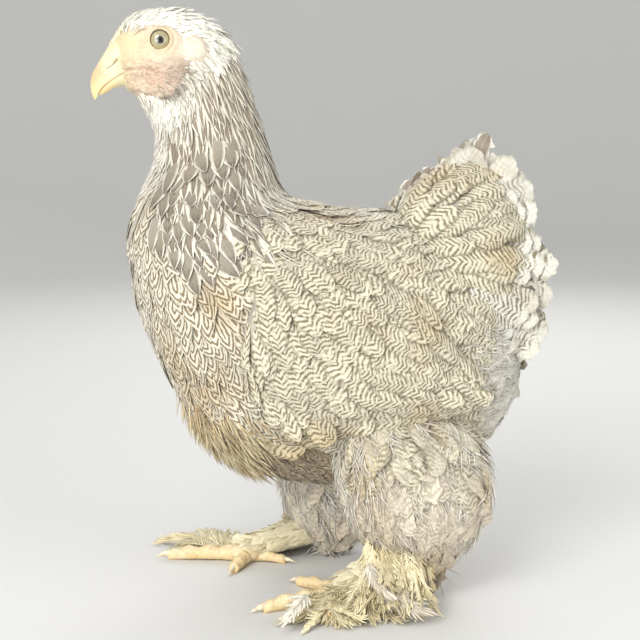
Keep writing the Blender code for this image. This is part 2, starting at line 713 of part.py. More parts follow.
def shank(leg, name, thigh_node):
    """The feathered shank, from the hock to the ball of the foot, with its vanes."""
    hock, ball = (place(v[0], leg["side"] * v[1], v[2]) for v in (leg["hock"], leg["ball"]))
    path = [hock + (ball - hock) * share for share, _ in SHANK]
    node = loft(name, tube(path, [radius for _, radius in SHANK], SHANK_TURNS), "plumage")
    middle = (leg["ball"][0] - PAD_BACK, leg["side"] * leg["ball"][1], PAD_HEIGHT)
    pad = ellipsoid("pad", middle, PAD, "toe", 10, 6)
    flatten(pad)
    draw = random.Random(SEED + 5)
    vanes = [foot_vane(*facts, order=k) for k, facts in enumerate(sprays(leg, draw))]
    boolean(node, [pad] + vanes, "UNION")
    return cut_clear(node, [thigh_node])


def flatten(obj):
    """Sets what would pass the floor flat on it."""
    for v in obj.data.vertices:
        v.co.z = max(v.co.z, 0.0)


def toe(leg, digit, name, shank_node, others):
    """A toe with a swelling at each joint and a flat sole, and its claw."""
    ball = Vector((leg["ball"][0], leg["side"] * leg["ball"][1], 0))
    tip = Vector((leg["toes"][digit][0], leg["side"] * leg["toes"][digit][1], 0))
    way = (tip - ball).normalized()
    radius = TOE_RADIUS[digit]
    joints = TOE_JOINTS[digit]
    steps = joints * 2 + 1
    path, radii = [], []
    for i in range(steps + 1):
        f = i / steps
        size = radius * (1.0 - TOE_TAPER * f) * (1.0 + TOE_KNUCKLE * math.cos(2 * math.pi * joints * f))
        size *= math.sqrt(max(0.0, 1 - max(0.0, (f - 0.9) / 0.1) ** 2 * 0.6))
        spot = ball + (tip - ball) * f
        path.append(place(spot.x, spot.y, size * 0.86 + TOE_ARCH * math.sin(math.pi * f)))
        radii.append(size)
    node = loft(name, tube(path, radii, TOE_TURNS), "toe")
    if digit in TOE_VANE_LENGTH:
        draw = random.Random(SEED + len(name))
        vanes = []
        places = spread(*TOE_VANE_SPAN, TOE_VANES)
        headings = spread(*TOE_VANE_TURNS, TOE_VANES)
        for k, (f, turn) in enumerate(zip(places, headings)):
            spot = ball + (tip - ball) * f
            root = Vector((spot.x, spot.y, radius * 1.1))
            bend = math.radians(turn + draw.uniform(-4, 4)) * -leg["side"]
            ahead = Vector((way.x * math.cos(bend) - way.y * math.sin(bend),
                            way.x * math.sin(bend) + way.y * math.cos(bend), 0))
            length = TOE_VANE_LENGTH[digit] * draw.uniform(0.9, 1.1)
            vanes.append(foot_vane(root - ahead * 1.5, ahead, 0.0, length, TOE_VANE_WIDTH, k))
        boolean(node, vanes, "UNION")
    cut_clear(node, [shank_node] + others)
    claw = claw_of(digit, name.replace("toe", "claw"), path[-1], way, radii[-1])
    cut_clear(claw, [node])
    return node, claw


def claw_of(digit, name, start, way, radius):
    """A claw that curves down from the toe's end to a blunt point above the floor."""
    length = CLAW_LENGTH[digit]
    over, up, drop = CLAW_ARCH
    path, radii = [], []
    for i in range(5):
        f = i / 4
        rise = start.z / MM + over + up * f - (start.z / MM + drop) * f * f
        spot = Vector((start.x, start.y, 0)) + way * MM * (length * f - CLAW_BACK)
        spot.z = rise * MM
        path.append(spot)
        radii.append(max(0.5, radius * CLAW_SHARE * (1 - f) ** 0.8))
    return loft(name, tube(path, radii, TOE_TURNS), "claw")


clear_scene()
hen = bpy.data.collections.new("brahma_hen")
bpy.context.scene.collection.children.link(hen)

head, neck, torso = trunk_parts()
face(head)
eyes(head)
upper, lower = beak(head)
comb(head, upper)
wings = [wing(-1, "wing_left", torso), wing(1, "wing_right", torso)]
hackle(neck)
cut_clear(neck, [torso, head] + wings)
tail(torso, wings)
for label, leg in LEGS.items():
    thigh_node = thigh(leg, "thigh_" + label, torso, wings[0] if label == "left" else wings[1])
    shank_node = shank(leg, "shank_" + label, thigh_node)
    done = []
    for digit in ("middle", "outer", "inner", "hind"):
        toe_node, claw_node = toe(leg, digit, f"toe_{digit}_{label}", shank_node, done)
        done += [toe_node, claw_node]
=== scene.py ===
# A brahma hen, life size, standing still: a carved head and feet, and a coat laid feather by feather
# over one skin. Lengths are in mm until a mesh is made; the bird faces -x and its left side is at -y.
import math

import bmesh
import bpy
import numpy as np
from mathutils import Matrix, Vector
from mathutils.bvhtree import BVHTree


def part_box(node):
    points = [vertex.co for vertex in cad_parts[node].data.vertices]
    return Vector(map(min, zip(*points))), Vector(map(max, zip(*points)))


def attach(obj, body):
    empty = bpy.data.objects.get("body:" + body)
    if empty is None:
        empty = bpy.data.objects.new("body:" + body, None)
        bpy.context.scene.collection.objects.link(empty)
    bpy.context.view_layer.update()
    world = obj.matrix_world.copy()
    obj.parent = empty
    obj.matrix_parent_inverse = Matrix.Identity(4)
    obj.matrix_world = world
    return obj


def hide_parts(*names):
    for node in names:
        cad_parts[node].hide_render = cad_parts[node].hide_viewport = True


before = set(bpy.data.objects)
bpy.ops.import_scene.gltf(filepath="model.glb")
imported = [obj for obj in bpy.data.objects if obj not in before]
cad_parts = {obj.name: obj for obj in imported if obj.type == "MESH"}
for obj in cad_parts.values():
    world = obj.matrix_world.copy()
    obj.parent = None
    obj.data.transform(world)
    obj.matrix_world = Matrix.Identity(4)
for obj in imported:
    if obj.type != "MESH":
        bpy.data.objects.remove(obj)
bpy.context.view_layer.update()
millimetre = 0.001
partOrigin = np.array((-9.0, 2.5, 0.0))     # where the part's own middle lies, as in its source


# small sums on arrays of points

def unit(vectors):
    return vectors / np.maximum(np.linalg.norm(vectors, axis=-1, keepdims=True), 1e-9)


def smoothRows(rows, s):
    # a smooth curve through rows of numbers, read at station s
    last = len(rows) - 1
    i = np.clip(np.floor(s).astype(int), 0, last - 1)
    f = (np.clip(s, 0, last) - i)[..., None]
    p, q, r, t = (rows[np.clip(i + k, 0, last)] for k in (-1, 0, 1, 2))
    return 0.5 * (2 * q + (r - p) * f + (2 * p - 5 * q + 4 * r - t) * f ** 2 + (3 * q - p - 3 * r + t) * f ** 3)


def lengthOf(vectors):
    return np.maximum(np.linalg.norm(vectors, axis=-1), 1e-2)


def table(pairs, x):
    xs, ys = zip(*pairs)
    return np.interp(x, xs, ys)


def smoothStep(x, low, high):
    f = np.clip((x - low) / (high - low), 0, 1)
    return f * f * (3 - 2 * f)


def lineDistance(x, z, points):
    # distance in the side view from each (x, z) to a bent line
    best = np.full(np.shape(x), 1e9)
    for (ax, az), (bx, bz) in zip(points, points[1:]):
        span = (bx - ax) ** 2 + (bz - az) ** 2
        f = np.clip(((x - ax) * (bx - ax) + (z - az) * (bz - az)) / span, 0, 1)
        best = np.minimum(best, np.hypot(x - ax - (bx - ax) * f, z - az - (bz - az) * f))
    return best


def insideOutline(x, z, points):
    inside = np.zeros(np.shape(x), bool)
    for (ax, az), (bx, bz) in zip(points, points[1:] + points[:1]):
        crosses = (az > z) != (bz > z)
        inside ^= crosses & (x < (bx - ax) * (z - az) / (bz - az if bz != az else 1e-9) + ax)
    return inside


# the beds that feathers grow from: a point for each pair (s, t), with s along the lie of the coat

trunk = {
    # front x, front z, back x, back z, half width, share wider in front
    "stations": np.array([
        (-150.5, 394, -156.5, 433, 10.5, 0), (-147.5, 391.5, -153.5, 441, 14.5, 0),
        (-144, 389, -148, 448.5, 18, 0), (-140, 385.5, -137, 454, 21.5, 0),
        (-136, 379.5, -120, 456, 24, -.02), (-133, 372.5, -100.5, 452.5, 25.5, -.02),
        (-130.5, 365, -83, 443, 27, 0), (-129, 356, -67.5, 427, 30, 0),
        (-130, 346, -56, 402, 34, 0), (-133, 334, -45.5, 368, 40, .02),
        (-140, 320, -36, 336, 49, .06), (-148.5, 302, -28, 314, 61, .08),
        (-153.5, 278, -15, 305, 73, .08), (-152, 252, 0, 302, 82, .06),
        (-147, 222, 14, 299, 87, .04), (-135, 190, 29, 297.5, 89, .02),
        (-117, 152, 43, 298, 89, 0), (-90, 112, 57, 298, 88, -.02),
        (-50, 87, 72, 295, 85, -.04), (0, 77, 90, 288, 81, -.04),
        (50, 74, 109, 277, 75, -.02), (94, 86, 127, 262, 65, 0),
        (126, 108, 141, 243, 51, 0), (146, 134, 150, 220, 33, 0),
        (153, 158, 154, 198, 16, 0),
    ], float),
    # station and how deep the skin lies under the outline of the coat
    "coatDepth": [(0, .3), (2.2, .8), (4, 1.4), (5.6, 2.4), (8, 4), (12, 5.5), (16, 6.5), (24, 7)],
}


def trunkAt(s, t, out=0.0):
    fx, fz, bx, bz, half, front = np.moveaxis(smoothRows(trunk["stations"], s), -1, 0)
    depth = table(trunk["coatDepth"], s) - out
    hx, hz = (bx - fx) / 2, (bz - fz) / 2
    keep = 1 - depth / np.hypot(hx, hz)
    up, side = np.cos(t), np.sin(t)
    return np.stack((
        (fx + bx) / 2 + hx * keep * up,
        (half - depth) * side * (1 - front * up),
        (fz + bz) / 2 + hz * keep * up), -1)


trunkBed = {"at": trunkAt, "end": 23.6, "sign": 1, "patch": (0.02, 0.02, 0.56, 0.96), "span": (0, 24, 0, 2 * math.pi)}


def bareSheet(at, rows, columns, sSpan, tSpan):
    # a plain grid of points over a bed, with its faces, to measure against
    s, t = np.meshgrid(np.linspace(*sSpan, rows), np.linspace(*tSpan, columns), indexing="ij")
    spots = at(s.ravel(), t.ravel())
    faces = [(i * columns + k, i * columns + k + 1, (i + 1) * columns + k + 1, (i + 1) * columns + k)
             for i in range(rows - 1) for k in range(columns - 1)]
    return spots, faces


trunkSheet = BVHTree.FromPolygons(*[list(map(tuple, part)) for part in bareSheet(
    lambda s, t: trunkAt(s, t, table(trunk["coatDepth"], s)), 150, 97, (0, 24), (0, 2 * math.pi))])


def flankAt(x, z):
    # how far the coat's outline stands out sideways at a spot of the side view
    hit = trunkSheet.ray_cast(Vector((x, -300, z)), Vector((0, 1, 0)))[0]
    return -hit.y if hit else 0.0


wing = {
    "root": np.array((-66.0, 236.0)), "tip": np.array((88.0, 184.0)),
    # share of the length, breadth above and below the middle line
    "edges": [(0, 26, -18), (.08, 42, -42), (.22, 50, -60), (.40, 51, -68),
              (.60, 46, -64), (.78, 37, -54), (.92, 21, -42), (1, 4, -24)],
    "thick": 11.0, "coatDepth": 5.0,
}


def wingSheet():
    # the wing's face over the flank, sampled once: a from shoulder to tip, b from its lower to its upper edge
    a, b = np.linspace(0, 1.1, 45), np.linspace(-1, 1, 33)
    along = wing["tip"] - wing["root"]
    length = np.linalg.norm(along)
    along = along / length
    across = np.array((-along[1], along[0]))
    above, below = (table([(row[0], row[k]) for row in wing["edges"]], np.minimum(a, 1)) for k in (1, 2))
    sheet = np.zeros((len(a), len(b), 3))
    for i, share in enumerate(a):
        for k, breadth in enumerate(b):
            reach = below[i] + (above[i] - below[i]) * (breadth + 1) / 2
            x, z = wing["root"] + along * length * share + across * reach
            insideX, insideZ = wing["root"] + along * length * min(share, .97) + across * reach
            edge = min(1, abs(breadth)) ** 2.2
            thick = wing["thick"] * (1 - edge) * min(1, .25 + share * 3.2) + 3.4
            sheet[i, k] = (x, flankAt(insideX, insideZ) + thick - wing["coatDepth"], z)
    return sheet


wing["sheet"] = wingSheet()


def wingBed(side, patch):
    sheet = wing["sheet"] * np.array((1, side, 1))

    def at(a, b, out=0.0):
        i = np.clip(a / 1.1, 0, 1) * (sheet.shape[0] - 1)
        k = np.clip((b + 1) / 2, 0, 1) * (sheet.shape[1] - 1)
        i0, k0 = (np.clip(np.floor(v).astype(int), 0, size - 2) for v, size in ((i, sheet.shape[0]), (k, sheet.shape[1])))
        f, g = (i - i0)[..., None], (k - k0)[..., None]
        spot = (sheet[i0, k0] * (1 - f) * (1 - g) + sheet[i0 + 1, k0] * f * (1 - g)
                + sheet[i0, k0 + 1] * (1 - f) * g + sheet[i0 + 1, k0 + 1] * f * g)
        past = np.clip(b, -1.4, 1.4) - np.clip(b, -1, 1)
        inwards = -side * 14 * past ** 2
        return spot + np.stack((0 * a, side * out + inwards, past * 50), -1)

    return {"at": at, "end": .86, "sign": -side, "patch": patch, "span": (0, 1.1, -1, 1), "side": side}


fan = {
    "centre": (50.0, 255.0), "coatDepth": 3.0,
    # radius, top and bottom in degrees, half width
    "rows": [(24, 88, -40, 40), (50, 76, -42, 51), (75, 63, -42, 47), (98, 54, -41, 36), (116, 46, -38, 20)],
}


def fanAt(r, t, out=0.0):
    top, bottom, half = (table([(row[0], row[k]) for row in fan["rows"]], r) for k in (1, 2, 3))
    depth = fan["coatDepth"] - out
    up, side = np.cos(t), np.sin(t)
    trim = depth / np.maximum(r, 20)
    angle = np.radians((top + bottom) / 2) + (np.radians((top - bottom) / 2) - trim) * up
    return np.stack((
        fan["centre"][0] + r * np.cos(angle), (half - depth) * side * (1 - .18 * up),
        fan["centre"][1] + r * np.sin(angle)), -1)


fanBed = {"at": fanAt, "end": 100, "sign": 1, "patch": (0.60, 0.66, 0.18, 0.32), "span": (20, 120, -math.pi, math.pi)}

legs = {
    "left": {
        "side": -1, "hock": (74, 62, 44), "ball": (12, 61, 12),
        # height, centre x, centre |y|, half length, half width
        "thigh": np.array([(150, 52, 46, 40, 24), (128, 60, 57, 54, 32), (104, 65, 62, 59, 37), (80, 67, 64, 56, 38),
                           (60, 68, 63, 48, 34), (46, 70, 62, 37, 27), (36, 73, 62, 22, 17)], float),
        "toes": {"inner": (-21, 21), "middle": (-55, 83), "outer": (-12, 112), "hind": (47, 46)},
    },
    "right": {
        "side": 1, "hock": (18, 59, 30), "ball": (-53, 51, 12),
        "thigh": np.array([(146, 26, 46, 40, 24), (122, 30, 56, 53, 31), (94, 32, 60, 59, 36), (68, 32, 61, 57, 37),
                           (46, 29, 60, 48, 33), (30, 26, 59, 36, 26), (20, 22, 59, 21, 16)], float),
        "toes": {"inner": (-70, 17), "middle": (-121, 65), "outer": (-94, 104), "hind": (-24, 38)},
    },
}


def thighBed(leg, patch, depth=5.0):
    def at(s, t, out=0.0):
        z, x, y, half, wide = np.moveaxis(smoothRows(leg["thigh"], s), -1, 0)
        return np.stack((x + (half - depth + out) * np.cos(t),
                         leg["side"] * y + (wide - depth + out) * np.sin(t), z), -1)

    return {"at": at, "end": 5.7, "sign": 1, "patch": patch, "span": (0, 6, 0, 2 * math.pi)}


def shankBed(leg, patch, out=-2.0):
    hock, ball = (np.array((v[0], leg["side"] * v[1], v[2]), float) for v in (leg["hock"], leg["ball"]))
    along = ball - hock
    side = unit(np.cross(along, (0, 0, 1)))
    up = unit(np.cross(side, along))

    def at(s, t, more=0.0):
        radius = table([(-.2, 9), (.1, 12.5), (.35, 11), (.8, 10), (1, 9)], s) + out + more
        return hock + along * s[..., None] + (side * np.cos(t)[..., None] + up * np.sin(t)[..., None]) * radius[..., None]

    return {"at": at, "end": 1.0, "sign": 1, "patch": patch, "span": (-.2, 1, 0, 2 * math.pi)}


def bedFrame(bed, s, t):
    step = 0.02
    here = bed["at"](s, t)
    along = (bed["at"](s + step, t) - bed["at"](s - step, t)) / (2 * step)
    around = (bed["at"](s, t + step) - bed["at"](s, t - step)) / (2 * step)
    return here, along, around, unit(np.cross(along, around)) * bed["sign"]


def plant(bed, rowGap, sideGap, sSpan, tSpan, seed, jitter=0.22):
    # roots in staggered rows that stay the same distance apart on the bed itself
    draw = np.random.default_rng(seed)
    t = np.linspace(*tSpan, 97)
    s = np.linspace(*sSpan, 161)
    spots = bed["at"](*np.meshgrid(s, t))
    run = np.cumsum(np.linalg.norm(np.diff(spots, axis=1), axis=-1), axis=1)
    run = np.concatenate((np.zeros((len(t), 1)), run), axis=1)
    allS, allT = [], []
    for row in range(int(run[:, -1].max() / rowGap) + 1):
        distance = (row + .5) * rowGap
        live = run[:, -1] > distance
        sRow = np.array([np.interp(distance, run[c], s) for c in range(len(t))])
        step = np.linalg.norm(np.diff(bed["at"](sRow, t), axis=0), axis=-1) * (live[1:] & live[:-1])
        around = np.concatenate(([0], np.cumsum(step)))
        count = int(around[-1] / sideGap)
        if count < 1:
            continue
        places = (np.arange(count) + .5 * (row % 2) + draw.uniform(-jitter, jitter, count)) * around[-1] / count
        tNew = np.interp(places, around, t)
        column = np.clip(np.round((tNew - tSpan[0]) / (tSpan[1] - tSpan[0]) * 96).astype(int), 0, 96)
        far = distance + draw.uniform(-jitter, jitter, count) * rowGap
        allS.append(np.array([np.interp(far[i], run[column[i]], s) for i in range(count)]))
        allT.append(tNew)
    return np.concatenate(allS), np.concatenate(allT)


# feathers: closed vanes and single strands, each coat one joined mesh from arrays

def vanePattern(rows, across):
    # faces of one vane: a top sheet, and a lower sheet that shares its rim
    mids = rows * across
    faces = [(j * across + k, (j + 1) * across + k, (j + 1) * across + k + 1, j * across + k + 1)
             for j in range(rows - 1) for k in range(across - 1)]
    half = across // 2
    for j in range(1, rows - 2):
        left, right, here = j * across, j * across + across - 1, mids + j - 1
        faces += [(left, here, here + 1, left + across), (here, right, right + across, here + 1)]
    tip = (rows - 1) * across
    faces.append(tuple(range(half, -1, -1))[::-1] + (mids, across))
    faces.append(tuple(range(half, across)) + (2 * across - 1, mids))
    lastMid = mids + rows - 3
    faces.append((tip - across, lastMid) + tuple(range(tip + half, tip - 1, -1)))
    faces.append((lastMid, tip - 1) + tuple(range(tip + across - 1, tip + half - 1, -1)))
    rim = np.zeros(mids + rows - 2, bool)
    rim[:across] = rim[tip:mids] = True
    rim[0:mids:across] = rim[across - 1:mids:across] = True
    return faces, rim


def strandPattern(rings):
    faces = [(0, 2, 1)]
    for j in range(rings - 1):
        for k in range(3):
            faces.append((j * 3 + k, j * 3 + (k + 1) % 3, (j + 1) * 3 + (k + 1) % 3, (j + 1) * 3 + k))
    tip, last = rings * 3, (rings - 1) * 3
    faces += [(last + k, last + (k + 1) % 3, tip) for k in range(3)]
    return faces


def joinedMesh(name, spots, pattern, vaneMap, sizes, bakeMap, material, rim=None):
    # spots: (count, points of one, 3) in mm; every shape has the same faces
    count, each = spots.shape[:2]
    height = spots[..., 2]      # near the floor a feather lays itself down instead of passing it
    spots[..., 2] = np.where(height < 3, .5 + 2.5 * np.exp((np.minimum(height, 3) - 3) / 2.5), height)
    loops = np.concatenate([np.array(face) for face in pattern])
    lengths = np.array([len(face) for face in pattern])
    allLoops = (loops[None] + np.arange(count)[:, None] * each).ravel().astype(np.int32)
    allLengths = np.tile(lengths, count)
    starts = np.concatenate(([0], np.cumsum(allLengths)[:-1])).astype(np.int32)
    mesh = bpy.data.meshes.new(name)
    mesh.vertices.add(count * each)
    mesh.vertices.foreach_set("co", ((spots + partOrigin) * millimetre).astype(np.float32).ravel())
    mesh.loops.add(len(allLoops))
    mesh.loops.foreach_set("vertex_index", allLoops)
    mesh.polygons.add(len(starts))
    mesh.polygons.foreach_set("loop_start", starts)
    mesh.polygons.foreach_set("use_smooth", np.ones(len(starts), bool))
    for label, values in (("VaneMap", vaneMap), ("OFBake", bakeMap)):
        layer = mesh.uv_layers.new(name=label)
        layer.data.foreach_set("uv", values.reshape(-1, 2)[allLoops].astype(np.float32).ravel())
    layer = mesh.attributes.new("vaneSize", "FLOAT_COLOR", "POINT")
    layer.data.foreach_set("color", sizes.astype(np.float32).ravel())
    mesh.update(calc_edges=True)
    if rim is not None:
        ends = np.empty(len(mesh.edges) * 2, np.int32)
        mesh.edges.foreach_get("vertices", ends)
        rims = np.tile(rim, count)[ends.reshape(-1, 2)].all(axis=1)
        sharp = mesh.attributes.new("sharp_edge", "BOOLEAN", "EDGE")
        sharp.data.foreach_set("value", rims)
    mesh.materials.append(material)
    piece = bpy.data.objects.new(name, mesh)
    bpy.context.scene.collection.objects.link(piece)
    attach(piece, "root")
    triangles = int((lengths - 2).sum()) * count
    print(f"{name}: {count} shapes, {triangles} triangles")
    return piece


def bakeSpots(bed, s, t, u, v):
    # a small patch for each feather at its root's place on the bed's unwrap
    x0, y0, wide, high = bed["patch"]
    s0, s1, t0, t1 = bed["span"]
    root = np.stack((x0 + wide * ((t - t0) % (t1 - t0)) / (t1 - t0), y0 + high * np.clip((s - s0) / (s1 - s0), 0, 1)), -1)
    return root[:, None, :] + .003 * (np.stack(np.broadcast_arrays(u, v), -1) - .5)


def march(bed, roots, shares):
    # the middle lines of feathers: along the bed from the root, then straight on past the bed's end
    s, t = roots["s"].copy(), roots["t"].copy()
    turn = roots["turn"].copy()
    steps = []
    last = 0.0
    base = along = around = normal = ahead = side = None
    for share in shares:
        stride = (share - last) * roots["length"]
        last = share
        on = s < bed["end"]
        if base is not None:
            turn = turn + roots["bend"] * stride / roots["length"]
            s = s + np.where(on, stride * np.cos(turn) / lengthOf(along), 0)
            t = t + np.where(on, stride * np.sin(turn) / lengthOf(around), 0)
        here, newAlong, newAround, newNormal = bedFrame(bed, s, t)
        c, d = np.cos(turn)[:, None], np.sin(turn)[:, None]
        newAhead = unit(unit(newAlong) * c + unit(newAround) * d)
        newSide = unit(unit(newAround) * c - unit(newAlong) * d)
        if base is None:
            base, along, around, normal, ahead, side = here, newAlong, newAround, newNormal, newAhead, newSide
        else:
            keep = on[:, None]
            freeAhead = unit(ahead - normal * (roots["curl"] * stride / roots["length"])[:, None])
            freeNormal = unit(normal + ahead * (roots["curl"] * stride / roots["length"])[:, None])
            base = np.where(keep, here, base + freeAhead * stride[:, None])
            ahead = np.where(keep, newAhead, freeAhead)
            normal = np.where(keep, newNormal, freeNormal)
            side = np.where(keep, newSide, side)
            along = np.where(keep, newAlong, along)
            around = np.where(keep, newAround, around)
        steps.append((s, t, turn, on, base, along, around, normal, ahead, side))
    return steps


def rootsOf(s, t, draw, length, width, lift, turn=0.0, spread=0.08, bend=0.0, curl=0.0, tilt=0.05, vary=0.1):
    count = len(s)
    full = lambda value: np.broadcast_to(np.asarray(value, float), (count,)).copy()
    return {
        "s": s.copy(), "t": t.copy(), "turn": full(turn) + draw.normal(0, spread, count),
        "length": full(length) * draw.uniform(1 - vary, 1 + vary, count),
        "width": full(width) * draw.uniform(1 - vary * .7, 1 + vary * .7, count),
        "lift": full(lift) * draw.uniform(.8, 1.2, count), "bend": full(bend) + draw.normal(0, .06, count),
        "curl": full(curl) + draw.normal(0, .04, count), "tilt": draw.normal(0, tilt, count),
        "random": draw.uniform(0, 1, count), "shade": full(.5),
    }


def picked(roots, keep):
    return {key: value[keep] for key, value in roots.items()}


outlines = {
    # share of the length and share of the half width
    "round": [(0, .30), (.15, .62), (.4, .95), (.62, 1), (.8, .95), (.9, .78), (.96, .55), (1, .2)],
    "lance": [(0, .45), (.2, .9), (.45, 1), (.65, .84), (.82, .52), (.93, .24), (1, .05)],
    "broad": [(0, .4), (.2, .85), (.5, 1), (.75, .93), (.9, .6), (1, .08)],
    "arrow": [(0, .35), (.25, .85), (.5, 1), (.68, .92), (.82, .66), (.92, .36), (1, .06)],
    "leaf": [(0, .3), (.25, .8), (.5, 1), (.75, .8), (.9, .45), (1, .08)],
}


def vaneCoat(name, bed, roots, look, material):
    # look: outline, rows, across, sink, dome, thick, ragged, rise
    rows, across = look["rows"], look["across"]
    v = 1 - (1 - np.linspace(0, 1, rows)) ** 1.25
    u = np.linspace(-1, 1, across)
    count = len(roots["s"])
    draw = np.random.default_rng(look.get("seed", 5))
    faces, rim = vanePattern(rows, across)
    top = np.zeros((count, rows, across, 3))
    low = np.zeros((count, rows - 2, 3))
    xs = np.zeros((count, rows, across))
    halves = np.zeros((count, rows))
    ragged = look.get("ragged", .05)
    for j, (s, t, turn, on, base, along, around, normal, ahead, side) in enumerate(march(bed, roots, v)):
        half = table(outlines[look["outline"]], v[j]) * roots["width"] / 2
        wide = half[:, None] * np.where(np.abs(u) > .99, 1 + draw.normal(0, ragged, (count, across)), 1) * u
        xs[:, j], halves[:, j] = wide, half
        sLate = s[:, None] - (np.sin(turn) / lengthOf(along))[:, None] * wide
        tLate = t[:, None] + (np.cos(turn) / lengthOf(around))[:, None] * wide
        onBed = bed["at"](sLate.ravel(), tLate.ravel()).reshape(count, across, 3)
        free = base[:, None] + side[:, None] * wide[..., None]
        spot = np.where(on[:, None, None], onBed, free)
        rise = -look["sink"] + (roots["lift"] + look["sink"]) * v[j] ** look.get("rise", .8)
        dome = look["dome"] * roots["width"][:, None] * (1 - u ** 2) * math.sin(math.pi * min(1, .15 + v[j] * .85) ** .8)
        height = rise[:, None] + dome + roots["tilt"][:, None] * wide
        top[:, j] = spot + normal[:, None] * height[..., None]
        if 0 < j < rows - 1:
            low[:, j - 1] = top[:, j, across // 2] - normal * look["thick"]
    bake = lambda gridU, gridV: bakeSpots(bed, roots["s"], roots["t"], gridU, gridV)
    return finishVanes(name, top, low, xs, halves, u, v, roots, bake, faces, rim, material)


def finishVanes(name, top, low, xs, halves, u, v, roots, bake, faces, rim, material):
    count, rows, across = xs.shape
    spots = np.concatenate((top.reshape(count, -1, 3), low), axis=1)
    yGrid = np.broadcast_to(((1 - v)[None, :] * roots["length"][:, None])[:, :, None], xs.shape)
    mid = across // 2
    mapX = np.concatenate((xs.reshape(count, -1), xs[:, 1:-1, mid]), axis=1) / 100 + .5
    mapY = np.concatenate((yGrid.reshape(count, -1), yGrid[:, 1:-1, mid]), axis=1) / 100
    halfGrid = np.broadcast_to(halves[:, :, None], xs.shape)
    local = np.concatenate((halfGrid.reshape(count, -1), halves[:, 1:-1]), axis=1)
    sizes = np.stack([local / 50] + [np.broadcast_to(value[:, None], local.shape)
                                     for value in (roots["width"] / 100, roots["random"], roots["shade"])], -1)
    gridU = np.concatenate((np.tile((u + 1) / 2, rows), np.full(rows - 2, .5)))[None]
    gridV = np.concatenate((np.repeat(v, across), v[1:-1]))[None]
    return joinedMesh(name, spots, faces, np.stack((mapX, mapY), -1), sizes, bake(gridU, gridV), material, rim)


def freeVanes(name, spines, normals, roots, look, patch, material, v=None):
    # vanes whose middle lines are given: spines and normals are (count, rows, 3), at the shares v of the length
    count, rows = spines.shape[:2]
    across = look["across"]
    v = np.linspace(0, 1, rows) if v is None else v
    u = np.linspace(-1, 1, across)
    draw = np.random.default_rng(look.get("seed", 5))
    faces, rim = vanePattern(rows, across)
    ahead = unit(np.gradient(spines, axis=1))
    side = unit(np.cross(normals, ahead))
    halves = table(outlines[look["outline"]], v)[None] * roots["width"][:, None] / 2
    rag = np.where(np.abs(u) > .99, 1 + draw.normal(0, look.get("ragged", .04), (count, rows, across)), 1)
    xs = halves[:, :, None] * u * rag
    dome = look["dome"] * roots["width"][:, None, None] * (1 - u ** 2)
    top = spines[:, :, None] + side[:, :, None] * xs[..., None] + normals[:, :, None] * dome[..., None]
    top[..., 2] = np.maximum(top[..., 2], .8)
    low = (top[:, :, across // 2] - normals * look["thick"])[:, 1:-1]
    low[..., 2] = np.maximum(low[..., 2], .4)
    x0, y0, wide, high = patch
    corner, reach = spines[:, 0].min(axis=0), np.ptp(spines[:, 0], axis=0) + 1
    seat = (spines[:, 0] - corner) / reach
    spot = np.stack((x0 + wide * seat[:, 0], y0 + high * seat[:, 1]), -1)[:, None]
    bake = lambda gridU, gridV: spot + .003 * (np.stack(np.broadcast_arrays(gridU, gridV), -1) - .5)
    return finishVanes(name, top, low, xs, halves, u, v, roots, bake, faces, rim, material)


def strandCoat(name, bed, roots, look, material):
    # look: rings, sink, flat, wave, rise
    rings = look["rings"]
    v = np.linspace(0, 1, rings + 1)
    count = len(roots["s"])
    draw = np.random.default_rng(look.get("seed", 9))
    phase = draw.uniform(0, 2 * math.pi, count)
    waves = draw.normal(0, look.get("wave", .06), count) * roots["length"]
    spots = np.zeros((count, rings * 3 + 1, 3))
    for j, (s, t, turn, on, base, along, around, normal, ahead, side) in enumerate(march(bed, roots, v)):
        rise = -look["sink"] + (roots["lift"] + look["sink"]) * v[j] ** look.get("rise", 1)
        middle = base + normal * rise[:, None] + side * (waves * np.sin(phase + v[j] * 3.4))[:, None]
        radius = (roots["width"] / 2 * (1 - v[j]) ** .6)[:, None]
        if j == rings:
            spots[:, -1] = middle
            continue
        # the widest side of each strand is turned a little its own way
        lean = roots["tilt"][:, None]
        wideWay = unit(side + normal * lean)
        thickWay = unit(normal - side * lean)
        spots[:, j * 3] = middle - wideWay * radius - thickWay * radius * look["flat"] * .5
        spots[:, j * 3 + 1] = middle + wideWay * radius - thickWay * radius * look["flat"] * .5
        spots[:, j * 3 + 2] = middle + thickWay * radius * look["flat"]
    if bed["sign"] < 0:
        spots[:, :-1] = spots[:, :-1].reshape(count, rings, 3, 3)[:, :, (1, 0, 2)].reshape(count, -1, 3)
    bake = lambda gridU, gridV: bakeSpots(bed, roots["s"], roots["t"], gridU, gridV)
    return finishStrands(name, spots, rings, v, roots, bake, material)


def finishStrands(name, spots, rings, v, roots, bake, material):
    gridU = np.concatenate((np.tile((0, 1, .5), rings), (.5,)))[None]
    gridV = np.concatenate((np.repeat(v[:-1], 3), (1.,)))[None]
    mapY = (1 - gridV) * roots["length"][:, None] / 100
    mapX = .5 + (gridU - .5) * roots["width"][:, None] / 100
    sizes = np.stack([np.broadcast_to(value[:, None], mapY.shape) for value in (
        roots["width"] / 100, roots["length"] / 100, roots["random"], roots["shade"])], -1)
    return joinedMesh(name, spots, strandPattern(rings), np.stack((mapX, mapY), -1), sizes,
                      bake(gridU, gridV), material)


